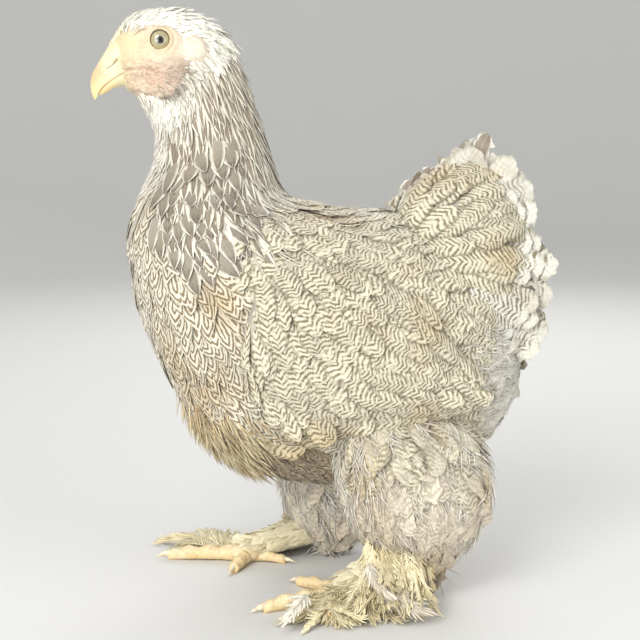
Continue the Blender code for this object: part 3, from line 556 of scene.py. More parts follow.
def freeStrands(name, paths, normals, roots, look, patch, material):
    # strands along given paths (count, rings + 1, 3), with one normal each
    count, rings = paths.shape[0], paths.shape[1] - 1
    v = np.linspace(0, 1, rings + 1)
    ahead = unit(np.gradient(paths, axis=1))
    side = unit(np.cross(normals[:, None], ahead))
    up = unit(np.cross(ahead, side))
    lean = roots["tilt"][:, None, None]
    wideWay, thickWay = unit(side + up * lean), unit(up - side * lean)
    radius = table(look.get("outline", [(0, .6), (.3, 1), (.7, .8), (1, .1)]), v)[None, :, None] * roots["width"][:, None, None] / 2
    spots = np.zeros((count, rings * 3 + 1, 3))
    for j in range(rings):
        spots[:, j * 3] = paths[:, j] - (wideWay * radius + thickWay * radius * look["flat"] * .5)[:, j]
        spots[:, j * 3 + 1] = paths[:, j] + (wideWay * radius - thickWay * radius * look["flat"] * .5)[:, j]
        spots[:, j * 3 + 2] = paths[:, j] + (thickWay * radius * look["flat"])[:, j]
    spots[:, -1] = paths[:, -1]
    spots[..., 2] = np.maximum(spots[..., 2], .5)
    x0, y0, wide, high = patch
    corner, reach = paths[:, 0].min(axis=0), np.ptp(paths[:, 0], axis=0) + 1
    seat = (paths[:, 0] - corner) / reach
    spot = np.stack((x0 + wide * seat[:, 0], y0 + high * seat[:, 1]), -1)[:, None]
    bake = lambda gridU, gridV: spot + .003 * (np.stack(np.broadcast_arrays(gridU, gridV), -1) - .5)
    return finishStrands(name, spots, rings, v, roots, bake, material)


# materials

def addNode(tree, kind, inputs=None, **settings):
    node = tree.nodes.new(kind)
    for key, value in settings.items():
        setattr(node, key, value)
    for key, value in (inputs or {}).items():
        if isinstance(value, bpy.types.NodeSocket):
            tree.links.new(value, node.inputs[key])
        else:
            node.inputs[key].default_value = value
    return node


def maths(tree, operation, a, b=0.0, c=None, clamp=False):
    values = {0: a, 1: b}
    if c is not None:
        values[2] = c
    return addNode(tree, "ShaderNodeMath", values, operation=operation, use_clamp=clamp).outputs[0]


def fade(tree, value, low, high, first=0.0, last=1.0):
    return addNode(tree, "ShaderNodeMapRange", {0: value, 1: low, 2: high, 3: first, 4: last},
                   interpolation_type="SMOOTHSTEP").outputs[0]


def blend(tree, share, a, b, mode="MIX"):
    colours = [value if isinstance(value, bpy.types.NodeSocket) else (*value, 1) for value in (a, b)]
    return addNode(tree, "ShaderNodeMix", {0: share, 6: colours[0], 7: colours[1]},
                   data_type="RGBA", blend_type=mode).outputs[2]


def shaderGroup(name, inputs, outputs):
    group = bpy.data.node_groups.new(name, "ShaderNodeTree")
    for label, value in inputs.items():
        kind = "NodeSocketVector" if value is None else "NodeSocketColor" if isinstance(value, tuple) else "NodeSocketFloat"
        socket = group.interface.new_socket(label, in_out="INPUT", socket_type=kind)
        if value is not None:
            socket.default_value = (*value, 1) if isinstance(value, tuple) else value
    for label, kind in outputs.items():
        group.interface.new_socket(label, in_out="OUTPUT", socket_type=kind)
    return group, group.nodes.new("NodeGroupInput").outputs, group.nodes.new("NodeGroupOutput").inputs


def vanePlace(group, vane):
    # mm across from the shaft and mm from the tip
    place = addNode(group, "ShaderNodeSeparateXYZ", {0: vane}).outputs
    return maths(group, "MULTIPLY", maths(group, "SUBTRACT", place[0], 0.5), 100), maths(group, "MULTIPLY", place[1], 100)


def wander(group, x, y, given):
    # a slow drift and a quick ripple, in mm, each feather with its own
    seat = addNode(group, "ShaderNodeCombineXYZ", {0: x, 1: y, 2: maths(group, "MULTIPLY", given["Random"], 90)}).outputs[0]
    drift = addNode(group, "ShaderNodeTexNoise", {"Vector": seat, "Scale": 0.17, "Detail": 2.0}).outputs[0]
    ripple = addNode(group, "ShaderNodeTexNoise", {"Vector": seat, "Scale": 0.5, "Detail": 1.0}).outputs[0]
    drift = maths(group, "MULTIPLY", maths(group, "SUBTRACT", drift, 0.5), maths(group, "MULTIPLY", given["Wander"], 4))
    return drift, maths(group, "MULTIPLY", maths(group, "SUBTRACT", ripple, 0.5), given["Wander"])


def lineBands(group, distance, given, soft=0.4):
    # soft dark bands over a distance in mm, the first one half a period in
    period = maths(group, "MULTIPLY", given["Period"], maths(group, "ADD", 0.82, maths(group, "MULTIPLY", given["Random"], 0.36)))
    turned = maths(group, "SUBTRACT", maths(group, "MULTIPLY", maths(group, "DIVIDE", distance, period), 2 * math.pi), math.pi / 2)
    wave = maths(group, "SINE", turned)
    return fade(group, wave, maths(group, "SUBTRACT", given["Cut"], soft), maths(group, "ADD", given["Cut"], soft))


def pencilGroup():
    # dark lines that run round inside the rim of a feather, in mm from its edge
    group, given, result = shaderGroup("pencilling", {
        "Vane": None, "Width": 20.0, "Random": 0.5, "Period": 5.0, "Cut": 0.2, "Point": 1.6, "Stretch": 1.0, "Wander": 1.4},
        {"Lines": "NodeSocketFloat"})
    x, y = vanePlace(group, given["Vane"])
    drift, ripple = wander(group, x, y, given)
    half = maths(group, "MULTIPLY", given["Width"], 0.5)
    rest = maths(group, "MAXIMUM", maths(group, "SUBTRACT", half, maths(group, "MULTIPLY", y, given["Stretch"])), 0)
    power = maths(group, "ADD", maths(group, "POWER", maths(group, "ABSOLUTE", x), given["Point"]),
                  maths(group, "POWER", rest, given["Point"]))
    rim = maths(group, "SUBTRACT", half, maths(group, "POWER", power, maths(group, "DIVIDE", 1.0, given["Point"])))
    rim = maths(group, "ADD", maths(group, "ADD", rim, drift), ripple)
    group.links.new(lineBands(group, rim, given), result["Lines"])
    return group


def rippleGroup():
    # bars across a feather in rounded lobes that meet in a cusp on the shaft, in mm from its tip
    group, given, result = shaderGroup("ripples", {
        "Vane": None, "Random": 0.5, "Period": 4.6, "Cut": 0.3, "Zigzag": 6.0, "Height": 1.5, "Bow": 0.02, "Phase": 1.0,
        "Wander": 1.0},
        {"Lines": "NodeSocketFloat"})
    x, y = vanePlace(group, given["Vane"])
    drift, ripple = wander(group, x, y, given)
    across = maths(group, "ADD", x, ripple)
    lobes = maths(group, "SINE", maths(group, "MULTIPLY", maths(group, "DIVIDE", across, given["Zigzag"]), math.pi))
    rise = maths(group, "MULTIPLY", maths(group, "ABSOLUTE", lobes), given["Height"])
    bow = maths(group, "MULTIPLY", maths(group, "MULTIPLY", x, x), given["Bow"])
    place = maths(group, "SUBTRACT", maths(group, "SUBTRACT", maths(group, "ADD", y, drift), rise), bow)
    shift = maths(group, "MULTIPLY", maths(group, "MULTIPLY", given["Random"], given["Period"]), given["Phase"])
    place = maths(group, "ADD", place, shift)
    seat = addNode(group, "ShaderNodeCombineXYZ", {0: x, 1: y, 2: maths(group, "MULTIPLY", given["Random"], 50)}).outputs[0]
    faint = addNode(group, "ShaderNodeTexNoise", {"Vector": seat, "Scale": 0.22, "Detail": 1.0}).outputs[0]
    lines = maths(group, "MULTIPLY", lineBands(group, place, given, 0.62), fade(group, faint, 0.32, 0.56, 0.35, 1.0))
    group.links.new(lines, result["Lines"])
    return group


def barbGroup():
    # fine ridges that run from the shaft outwards and on, and the shaft itself
    group, given, result = shaderGroup(
        "barbs", {"Vane": None, "Random": 0.5, "Gap": 0.9}, {"Ridges": "NodeSocketFloat", "Shaft": "NodeSocketFloat"})
    x, y = vanePlace(group, given["Vane"])
    acrossX = maths(group, "ABSOLUTE", x)
    lane = maths(group, "DIVIDE", maths(group, "ADD", y, maths(group, "MULTIPLY", acrossX, 1.3)), given["Gap"])
    seat = addNode(group, "ShaderNodeCombineXYZ", {
        0: lane, 1: maths(group, "MULTIPLY", x, 0.08), 2: maths(group, "MULTIPLY", given["Random"], 70)}).outputs[0]
    ridges = addNode(group, "ShaderNodeTexNoise", {"Vector": seat, "Scale": 0.8, "Detail": 2.0}).outputs[0]
    group.links.new(ridges, result["Ridges"])
    group.links.new(fade(group, acrossX, 0.55, 0.2), result["Shaft"])
    return group


def weatherGroup():
    # each feather a little its own tone, with faint ochre stains over the whole coat
    group, given, result = shaderGroup(
        "weathered", {"Colour": (0.8, 0.8, 0.8), "Random": 0.5, "Stain": 0.3, "Ochre": (0.70, 0.50, 0.24)},
        {"Colour": "NodeSocketColor"})
    spot = addNode(group, "ShaderNodeTexCoord").outputs["Object"]
    cloud = addNode(group, "ShaderNodeTexNoise", {"Vector": spot, "Scale": 16.0, "Detail": 3.0}).outputs[0]
    cloud = maths(group, "MULTIPLY", fade(group, cloud, 0.47, 0.74), given["Stain"])
    tone = maths(group, "ADD", 0.86, maths(group, "MULTIPLY", given["Random"], 0.2))
    shaded = blend(group, 1.0, given["Colour"],
                   addNode(group, "ShaderNodeCombineXYZ", {0: tone, 1: tone, 2: tone}).outputs[0], "MULTIPLY")
    stained = blend(group, cloud, shaded, given["Ochre"], "MULTIPLY")
    group.links.new(stained, result["Colour"])
    return group


pencilling, ripples, barbs, weathered = pencilGroup(), rippleGroup(), barbGroup(), weatherGroup()


def newMaterial(name, roughness, **sockets):
    material = bpy.data.materials.new(name)
    material.use_nodes = True
    tree = material.node_tree
    shader = tree.nodes["Principled BSDF"]
    shader.inputs["Roughness"].default_value = roughness
    for label, value in sockets.items():
        shader.inputs[label.replace("_", " ")].default_value = value
    return material, tree, shader


def featherInputs(tree):
    vane = addNode(tree, "ShaderNodeUVMap", uv_map="VaneMap").outputs[0]
    sizes = addNode(tree, "ShaderNodeAttribute", attribute_name="vaneSize")
    parts = addNode(tree, "ShaderNodeSeparateColor", {0: sizes.outputs["Color"]}).outputs
    local = maths(tree, "MULTIPLY", parts[0], 50)
    width = maths(tree, "MULTIPLY", parts[1], 100)
    return vane, local, width, parts[2], sizes.outputs["Alpha"]


def bumped(tree, shader, height, distance, strength=0.6):
    bump = addNode(tree, "ShaderNodeBump", {"Height": height, "Distance": distance * millimetre, "Strength": strength})
    tree.links.new(bump.outputs[0], shader.inputs["Normal"])


def pencilledMaterial(name, look):
    # look: pale, dark, lines (which group), that group's own values, bare (mm of the tip that stay pale), stain, edge
    # (how dark the painted shade along the rims is)
    material, tree, shader = newMaterial(name, 0.62, Sheen_Weight=0.25, Sheen_Roughness=0.5, Specular_IOR_Level=0.25)
    vane, local, width, own, shade = featherInputs(tree)
    group = addNode(tree, "ShaderNodeGroup", node_tree=look["lines"])
    for label, value in {"Vane": vane, "Width": width, "Random": own}.items():
        if label in group.inputs:
            tree.links.new(value, group.inputs[label])
    for label in ("Period", "Cut", "Point", "Stretch", "Zigzag", "Height", "Bow", "Phase", "Wander"):
        if label in group.inputs:
            group.inputs[label].default_value = look[label.lower()]
    ridge = addNode(tree, "ShaderNodeGroup", node_tree=barbs)
    tree.links.new(vane, ridge.inputs["Vane"])
    tree.links.new(own, ridge.inputs["Random"])
    mask = maths(tree, "MULTIPLY", group.outputs["Lines"], maths(tree, "MULTIPLY", shade, 2, clamp=True))
    if "bare" in look:
        fromTip = maths(tree, "MULTIPLY", addNode(tree, "ShaderNodeSeparateXYZ", {0: vane}).outputs[1], 100)
        mask = maths(tree, "MULTIPLY", mask, fade(tree, fromTip, look["bare"] * .6, look["bare"] * 1.4))
    place = addNode(tree, "ShaderNodeSeparateXYZ", {0: vane}).outputs
    fringe = fade(tree, place[1], 0.006, 0.020)
    mask = maths(tree, "MULTIPLY", mask, fringe)
    colour = blend(tree, mask, look["pale"], look["dark"])
    colour = blend(tree, maths(tree, "MULTIPLY", fade(tree, ridge.outputs["Ridges"], 0.38, 0.66), 0.26), colour, look["dark"])
    colour = blend(tree, maths(tree, "MULTIPLY", fade(tree, ridge.outputs["Ridges"], 0.48, 0.30), 0.35), colour, look["pale"])
    # painted shade: each feather's sides darken towards the dark colour near the rim, standing in for the shadow in the
    # gaps between feathers
    x = maths(tree, "MULTIPLY", maths(tree, "ABSOLUTE", maths(tree, "SUBTRACT", place[0], 0.5)), 100)
    share = maths(tree, "DIVIDE", x, maths(tree, "MAXIMUM", local, 0.5))
    edge = maths(tree, "MULTIPLY", fade(tree, share, 0.72, 1.0), fringe)
    colour = blend(tree, maths(tree, "MULTIPLY", edge, look.get("edge", 0.35)), colour, look["dark"])
    worn = addNode(tree, "ShaderNodeGroup", node_tree=weathered)
    tree.links.new(colour, worn.inputs["Colour"])
    tree.links.new(own, worn.inputs["Random"])
    worn.inputs["Stain"].default_value = look.get("stain", 0.3)
    tree.links.new(worn.outputs[0], shader.inputs["Base Color"])
    height = maths(tree, "SUBTRACT", maths(tree, "MULTIPLY", ridge.outputs["Ridges"], 0.8), group.outputs["Lines"])
    bumped(tree, shader, height, look.get("relief", 0.6))
    return material


def hackleMaterial(name, look):
    material, tree, shader = newMaterial(name, 0.5, Sheen_Weight=0.2, Specular_IOR_Level=0.3)
    vane, local, width, own, shade = featherInputs(tree)
    ridge = addNode(tree, "ShaderNodeGroup", node_tree=barbs)
    tree.links.new(vane, ridge.inputs["Vane"])
    tree.links.new(own, ridge.inputs["Random"])
    place = addNode(tree, "ShaderNodeSeparateXYZ", {0: vane}).outputs
    x = maths(tree, "MULTIPLY", maths(tree, "ABSOLUTE", maths(tree, "SUBTRACT", place[0], 0.5)), 100)
    share = maths(tree, "DIVIDE", x, maths(tree, "MAXIMUM", local, 0.3))
    wobble = maths(tree, "MULTIPLY", maths(tree, "SUBTRACT", ridge.outputs["Ridges"], 0.5), 0.5)
    edge = fade(tree, maths(tree, "ADD", share, wobble), look["edge"] - .16, look["edge"] + .18)
    # shade tells how wide and dark the middle is: 0 all pale, 1 all dark
    dark = maths(tree, "MULTIPLY", maths(tree, "SUBTRACT", 1.0, edge), maths(tree, "MULTIPLY", shade, 2, clamp=True))
    dark = maths(tree, "MULTIPLY", dark, fade(tree, place[1], 0.0, 0.012, look.get("tip", 1.0), 1.0))
    dark = maths(tree, "MULTIPLY", dark, fade(tree, place[1], 0.10, 0.32, 1.0, look.get("base", 1.0)))
    deep = maths(tree, "ADD", maths(tree, "MULTIPLY", ridge.outputs["Ridges"], 0.7), fade(tree, place[1], 0.12, 0.02, 0, 0.35))
    middle = blend(tree, fade(tree, deep, 0.3, 0.8), look["dark"], look["darker"])
    colour = blend(tree, dark, look["pale"], middle)
    colour = blend(tree, maths(tree, "MULTIPLY", ridge.outputs["Shaft"], 0.5), colour, look["shaft"])
    worn = addNode(tree, "ShaderNodeGroup", node_tree=weathered)
    tree.links.new(colour, worn.inputs["Colour"])
    tree.links.new(own, worn.inputs["Random"])
    worn.inputs["Stain"].default_value = look.get("stain", 0.15)
    tree.links.new(worn.outputs[0], shader.inputs["Base Color"])
    bumped(tree, shader, maths(tree, "ADD", ridge.outputs["Ridges"], ridge.outputs["Shaft"]), 0.35)
    return material


def downMaterial(name, look):
    material, tree, shader = newMaterial(name, 0.75, Sheen_Weight=0.3, Specular_IOR_Level=0.2)
    vane, local, width, own, shade = featherInputs(tree)
    spot = addNode(tree, "ShaderNodeTexCoord").outputs["Object"]
    cloud = addNode(tree, "ShaderNodeTexNoise", {"Vector": spot, "Scale": look.get("cloud", 60.0), "Detail": 2.0}).outputs[0]
    mixShare = maths(tree, "ADD", maths(tree, "MULTIPLY", own, 0.55), maths(tree, "MULTIPLY", cloud, 0.5))
    colour = blend(tree, fade(tree, mixShare, 0.3, 0.8), look["dark"], look["pale"])
    root = fade(tree, addNode(tree, "ShaderNodeSeparateXYZ", {0: vane}).outputs[1], 0.02, 0.22)
    colour = blend(tree, maths(tree, "MULTIPLY", root, look.get("rootShade", 0.5)), colour, look["root"])
    worn = addNode(tree, "ShaderNodeGroup", node_tree=weathered)
    tree.links.new(colour, worn.inputs["Colour"])
    tree.links.new(own, worn.inputs["Random"])
    worn.inputs["Stain"].default_value = look.get("stain", 0.25)
    tree.links.new(worn.outputs[0], shader.inputs["Base Color"])
    return material


plumage = {
    "cream": (0.715, 0.672, 0.518), "white": (0.78, 0.76, 0.66), "taupe": (0.20, 0.17, 0.105), "brown": (0.215, 0.165, 0.10),
}
# in the pencilled looks, edge sets how dark the painted shade along each feather's rim is
rippled = {"lines": ripples, "pale": plumage["cream"], "dark": plumage["taupe"], "period": 3.9, "cut": 0.14, "zigzag": 9.0,
           "height": 2.2, "bow": .04, "phase": .6, "wander": 1.2, "stain": 0.6, "edge": .5}
backFeather = pencilledMaterial("back_feather", rippled)
longFeather = pencilledMaterial("long_feather", {**rippled, "period": 3.9, "zigzag": 15.0, "height": 4.0, "bow": .012, "phase": 1, "edge": .6})
rimFeather = pencilledMaterial("rim_feather", {
    **rippled, "pale": (0.72, 0.705, 0.62), "period": 4.2, "zigzag": 15.0, "height": 3.6, "bow": .01, "bare": 6.0, "stain": 0.25, "edge": .35})
breastFeather = pencilledMaterial("breast_feather", {
    "lines": pencilling, "pale": (0.76, 0.715, 0.58), "dark": plumage["brown"], "period": 3.5, "cut": 0.22, "point": 1.2,
    "stretch": 0.62, "wander": 0.5, "stain": 0.5, "edge": 0.15})
# the belly's feathers are browner, and darker still as painted shade for the underside that faces the floor
bellyFeather = pencilledMaterial("belly_feather", {
    "lines": pencilling, "pale": (0.38, 0.315, 0.215), "dark": (0.14, 0.10, 0.06), "period": 2.8, "cut": 0.1, "point": 1.2,
    "stretch": 0.6, "wander": 0.8, "stain": 0.4, "edge": 0.1})
thighFeather = pencilledMaterial("thigh_feather", {
    **rippled, "pale": (0.73, 0.665, 0.545), "dark": (0.44, 0.365, 0.265), "period": 4.0, "cut": 0.35, "stain": 0.35, "edge": 0.25})
hackleFeather = hackleMaterial("hackle_feather", {
    "pale": (0.71, 0.685, 0.58), "dark": (0.235, 0.195, 0.14), "darker": (0.12, 0.095, 0.062), "shaft": (0.38, 0.33, 0.25), "edge": 0.50})
capeFeather = hackleMaterial("cape_feather", {
    "pale": (0.65, 0.62, 0.53), "dark": (0.27, 0.24, 0.18), "darker": (0.14, 0.11, 0.078), "shaft": (0.36, 0.31, 0.24),
    "edge": 0.70, "base": 0.75})
plainFeather = hackleMaterial("plain_feather", {
    "pale": plumage["white"], "dark": (0.36, 0.30, 0.235), "darker": (0.25, 0.20, 0.15), "shaft": (0.60, 0.55, 0.46), "edge": 0.80})
headFeather = hackleMaterial("head_feather", {
    "pale": (0.86, 0.845, 0.74), "dark": (0.34, 0.305, 0.25), "darker": (0.22, 0.19, 0.15), "shaft": (0.84, 0.82, 0.72), "edge": 0.4,
    "stain": 0.05})
greyDown = downMaterial("grey_down", {
    "dark": (0.70, 0.63, 0.51), "pale": (0.86, 0.81, 0.69), "root": (0.55, 0.48, 0.38), "rootShade": 0.25})
whiteDown = downMaterial("white_down", {
    "dark": (0.79, 0.75, 0.66), "pale": (0.93, 0.895, 0.80), "root": (0.66, 0.62, 0.54), "rootShade": 0.25, "stain": 0.1})
buffDown = downMaterial("buff_down", {
    "dark": (0.60, 0.46, 0.25), "pale": (0.86, 0.76, 0.51), "root": (0.43, 0.32, 0.19), "rootShade": 0.3, "stain": 0.3})
footDown = downMaterial("foot_down", {
    "dark": (0.76, 0.65, 0.38), "pale": (0.95, 0.87, 0.60), "root": (0.64, 0.53, 0.30), "rootShade": 0.2, "stain": 0.25})
footFeather = hackleMaterial("foot_feather", {
    "pale": (0.90, 0.83, 0.60), "dark": (0.74, 0.64, 0.40), "darker": (0.58, 0.48, 0.28), "shaft": (0.86, 0.78, 0.54), "edge": 0.5,
    "stain": .3})
bristle = downMaterial("bristle", {"dark": (0.36, 0.30, 0.23), "pale": (0.84, 0.81, 0.70), "root": (0.44, 0.35, 0.26), "rootShade": 0.2})


def capeEdge(fromBack):
    # how far down the neck's plain feathers reach, by the angle from the middle of the back
    return table([(.5, 10.4), (1.0, 11.2), (1.4, 12.2), (1.8, 12.9), (2.1, 12.6), (2.4, 11.4)], fromBack)


def bodyCoats():
    # three plantings over the trunk: back and flanks, breast, and the finer belly, each keeping to its own part
    draw = np.random.default_rng(3)
    full = 2 * math.pi

    def parts(s, t):
        spot = trunkAt(s, t)
        x, z = spot[:, 0], spot[:, 2]
        fromBack = np.abs((t + math.pi) % full - math.pi)      # 0 at the back, pi at the front
        front = smoothStep(fromBack, 1.25, 1.95) * smoothStep(s, 19.0, 16.4)
        low = smoothStep(z, 148, 127) * smoothStep(x, 85, 60) * (s > 15)
        rear = smoothStep(x, 96, 118) * smoothStep(z, 212, 192)
        covered = (s < capeEdge(fromBack) - .9) & (fromBack < 2.3)
        return x, z, front, low, rear, covered

    look = {"outline": "round", "rows": 9, "across": 7, "sink": 2.6, "dome": .085, "thick": .5, "ragged": .09, "seed": 31}
    s, t = plant(trunkBed, 9.5, 11.0, (10.6, 23.4), (0, full), 21)
    x, z, front, low, rear, covered = parts(s, t)
    chance = draw.uniform(0, 1, len(s))
    roots = rootsOf(s, t, draw, 38, 20.5, 6.6, tilt=.13, spread=.20, vary=.18)
    pieces = [vaneCoat("coat_back", trunkBed, picked(roots, (front <= chance) & (low <= chance) & (rear <= chance) & ~covered), look, backFeather)]
    s, t = plant(trunkBed, 8.4, 7.4, (10.0, 19.4), (0, full), 23)
    x, z, front, low, rear, covered = parts(s, t)
    chance = draw.uniform(0, 1, len(s))
    fromBack = np.abs((t + math.pi) % full - math.pi)
    roots = rootsOf(s, t, draw, 34, 14.5, 5.8 - 2.2 * smoothStep(fromBack, 2.2, 2.8), tilt=.14, spread=.15, vary=.18)
    pieces.append(vaneCoat("coat_breast", trunkBed, picked(roots, (front > chance) & (low <= chance) & ~covered),
                           {**look, "outline": "arrow", "across": 5, "dome": .11, "seed": 39}, breastFeather))
    s, t = plant(trunkBed, 6.8, 6.4, (14.5, 23.4), (.5 * math.pi - .3, 1.5 * math.pi + .3), 24)
    x, z, front, low, rear, covered = parts(s, t)
    chance = draw.uniform(0, 1, len(s))
    roots = rootsOf(s, t, draw, 27, 11.5, 4.4, tilt=.15, spread=.14, vary=.2)
    pieces.append(vaneCoat("coat_belly", trunkBed, picked(roots, (low > chance) & (rear < .5)),
                           {**look, "outline": "arrow", "ragged": .14, "rows": 8, "across": 5}, bellyFeather))
    # soft strands over the rear and under the belly, and the buff fringe low on the breast
    s, t = plant(trunkBed, 2.9, 2.9, (14.5, 23.8), (.5 * math.pi - .6, 1.5 * math.pi + .6), 22, .5)
    x, z, front, low, rear, covered = parts(s, t)
    rear = smoothStep(x, 84, 108) * smoothStep(z, 222, 200)
    under = smoothStep(z, 118, 96) * .5
    fringe = smoothStep(z, 170, 140) * smoothStep(x, -50, -80)
    chance = draw.uniform(0, 1, len(s))
    s2, t2 = plant(trunkBed, 7.5, 8.0, (17.0, 23.6), (.5 * math.pi - .4, 1.5 * math.pi + .4), 25, .4)
    spot = trunkAt(s2, t2)
    behind = smoothStep(spot[:, 0], 88, 106) * smoothStep(spot[:, 2], 222, 204) > .5
    soft = rootsOf(s2[behind], t2[behind], draw, 32, 15, 7.0, tilt=.3, spread=.28, vary=.25)
    soft["shade"][:] = draw.uniform(0, .16, behind.sum())
    pieces.append(vaneCoat("coat_rear", trunkBed, soft, {**look, "outline": "broad", "ragged": .22, "dome": .1}, rimFeather))
    # pale threads of the saddle that lie over the back
    s3, t3 = plant(trunkBed, 6.5, 5.0, (10.8, 17.0), (-1.45, 1.45), 26, .5)
    threads = rootsOf(s3, t3, draw, 32, 1.5, 8.2, spread=.14, tilt=.5, vary=.3)
    threads = picked(threads, draw.uniform(0, 1, len(s3)) < .45)
    pieces.append(strandCoat("threads_back", trunkBed, threads, {"rings": 5, "sink": .4, "flat": .4, "wave": .06, "rise": .6}, greyDown))
    strand = {"rings": 4, "sink": .5, "flat": .35, "wave": .03, "rise": 1.2}
    for name, keep, material, lift, length, width in (
            ("down_rear", rear > .05 + chance * .9, whiteDown, 9, 23, 2.6), ("down_belly", (under > chance) & (rear <= chance), buffDown, 5, 17, 1.8),
            ("down_fringe", fringe > chance, buffDown, 12, 27, 2.4)):
        strands = rootsOf(s[keep], t[keep], draw, length, width, lift, spread=.26, bend=.1, tilt=.6, vary=.35)
        pieces.append(strandCoat(name, trunkBed, strands, strand, material))
    return pieces


def neckCoats():
    draw = np.random.default_rng(4)
    full = 2 * math.pi
    s, t = plant(trunkBed, 7.0, 5.6, (5.0, 12.2), (0, full), 41, .3)
    fromBack = np.abs((t + math.pi) % full - math.pi)
    spot = trunkAt(s, t)
    # the cape reaches far down behind, and only to the throat in front
    reach = table([(0, 10.0), (.6, 10.4), (1.2, 11.8), (1.9, 11.4), (2.4, 9.4), (2.7, 8.0), (3.2, 7.0)], fromBack)
    throat = smoothStep(fromBack, 2.35, 2.75)
    keep = (s < reach) & (draw.uniform(0, 1, len(s)) > throat)
    down = smoothStep(s, 5.0, 11.5)
    broader = table([(0, .72), (.8, .85), (1.3, 1.15), (2.0, 1.3), (3.2, 1.2)], fromBack)
    roots = rootsOf(s, t, draw, 26 + 24 * down, (5.0 + 7.6 * down ** 1.2) * broader,
                    (3.2 + 2.6 * down) * (1 - .45 * smoothStep(fromBack, 2.0, 2.6)), spread=.09, tilt=.18)
    onBack = smoothStep(fromBack, 1.3, .6) * smoothStep(s, 8.6, 10.4)
    roots["shade"] = .16 + .5 * smoothStep(s, 5.0, 7.4) * draw.uniform(.6, 1.2, len(s)) * (1 - .7 * onBack)
    look = {"outline": "lance", "rows": 8, "across": 5, "sink": 1.8, "dome": .10, "thick": .4, "ragged": .06, "seed": 32}
    pieces = [vaneCoat("coat_hackle", trunkBed, picked(roots, keep), look, hackleFeather)]
    # broad plain feathers where the cape ends
    s, t = plant(trunkBed, 10.5, 8.8, (8.4, 12.9), (0, full), 43, .2)
    fromBack = np.abs((t + math.pi) % full - math.pi)
    chance = draw.uniform(0, 1, len(s))
    keep = (fromBack > .7) & (fromBack < 2.35) & (s < capeEdge(fromBack)) & ((s > 10.4) | ((fromBack > 1.1) & (chance < .8)))
    cape = rootsOf(s[keep], t[keep], draw, 32, 13.5, 7.4, spread=.10, tilt=.10, vary=.2)
    cape["shade"] = draw.uniform(.42, .66, keep.sum())
    pieces.append(vaneCoat("coat_cape", trunkBed, cape, {**look, "outline": "arrow", "rows": 9, "across": 7}, capeFeather))
    # the throat's short white fluff
    s, t = plant(trunkBed, 2.6, 2.4, (2.2, 10.4), (math.pi - .95, math.pi + .95), 44, .5)
    fromBack = np.abs((t + math.pi) % full - math.pi)
    keep = draw.uniform(0, 1, len(s)) < smoothStep(fromBack, 2.3, 2.7) * smoothStep(s, 10.4, 9)
    fluff = rootsOf(s[keep], t[keep], draw, 11 + 5 * smoothStep(s[keep], 4, 8), 1.7, 3.4, spread=.3, tilt=.6, vary=.3)
    pieces.append(strandCoat("down_throat", trunkBed, fluff, {"rings": 4, "sink": .4, "flat": .5, "wave": .05, "rise": 1.1}, whiteDown))
    return pieces


face = {
    # the bare skin's outline in the side view
    "bare": [(-164, 431), (-154, 436), (-146, 438), (-138, 440), (-131, 441), (-120, 441), (-111, 437), (-107.5, 431),
             (-107, 416), (-93, 415), (-94, 407), (-101, 399), (-110, 392.5), (-118, 389), (-127, 388.5), (-143, 393.5), (-160, 396)],
    "eye": (-125.0, 430.7), "lobe": (-99.3, 424.5), "mouth": [(-157, 406.4), (-148, 408.8), (-139, 409.9), (-131, 408.8)],
    # how far the feathers thin out over the skin from its outline
    "thinning": 7.0, "cream": (0.655, 0.57, 0.35),
}


def faceDistance(x, z):
    # mm inside the bare skin's outline, or below zero outside it
    outline = face["bare"] + face["bare"][:1]
    return lineDistance(x, z, outline) * np.where(insideOutline(x, z, face["bare"]), 1, -1)


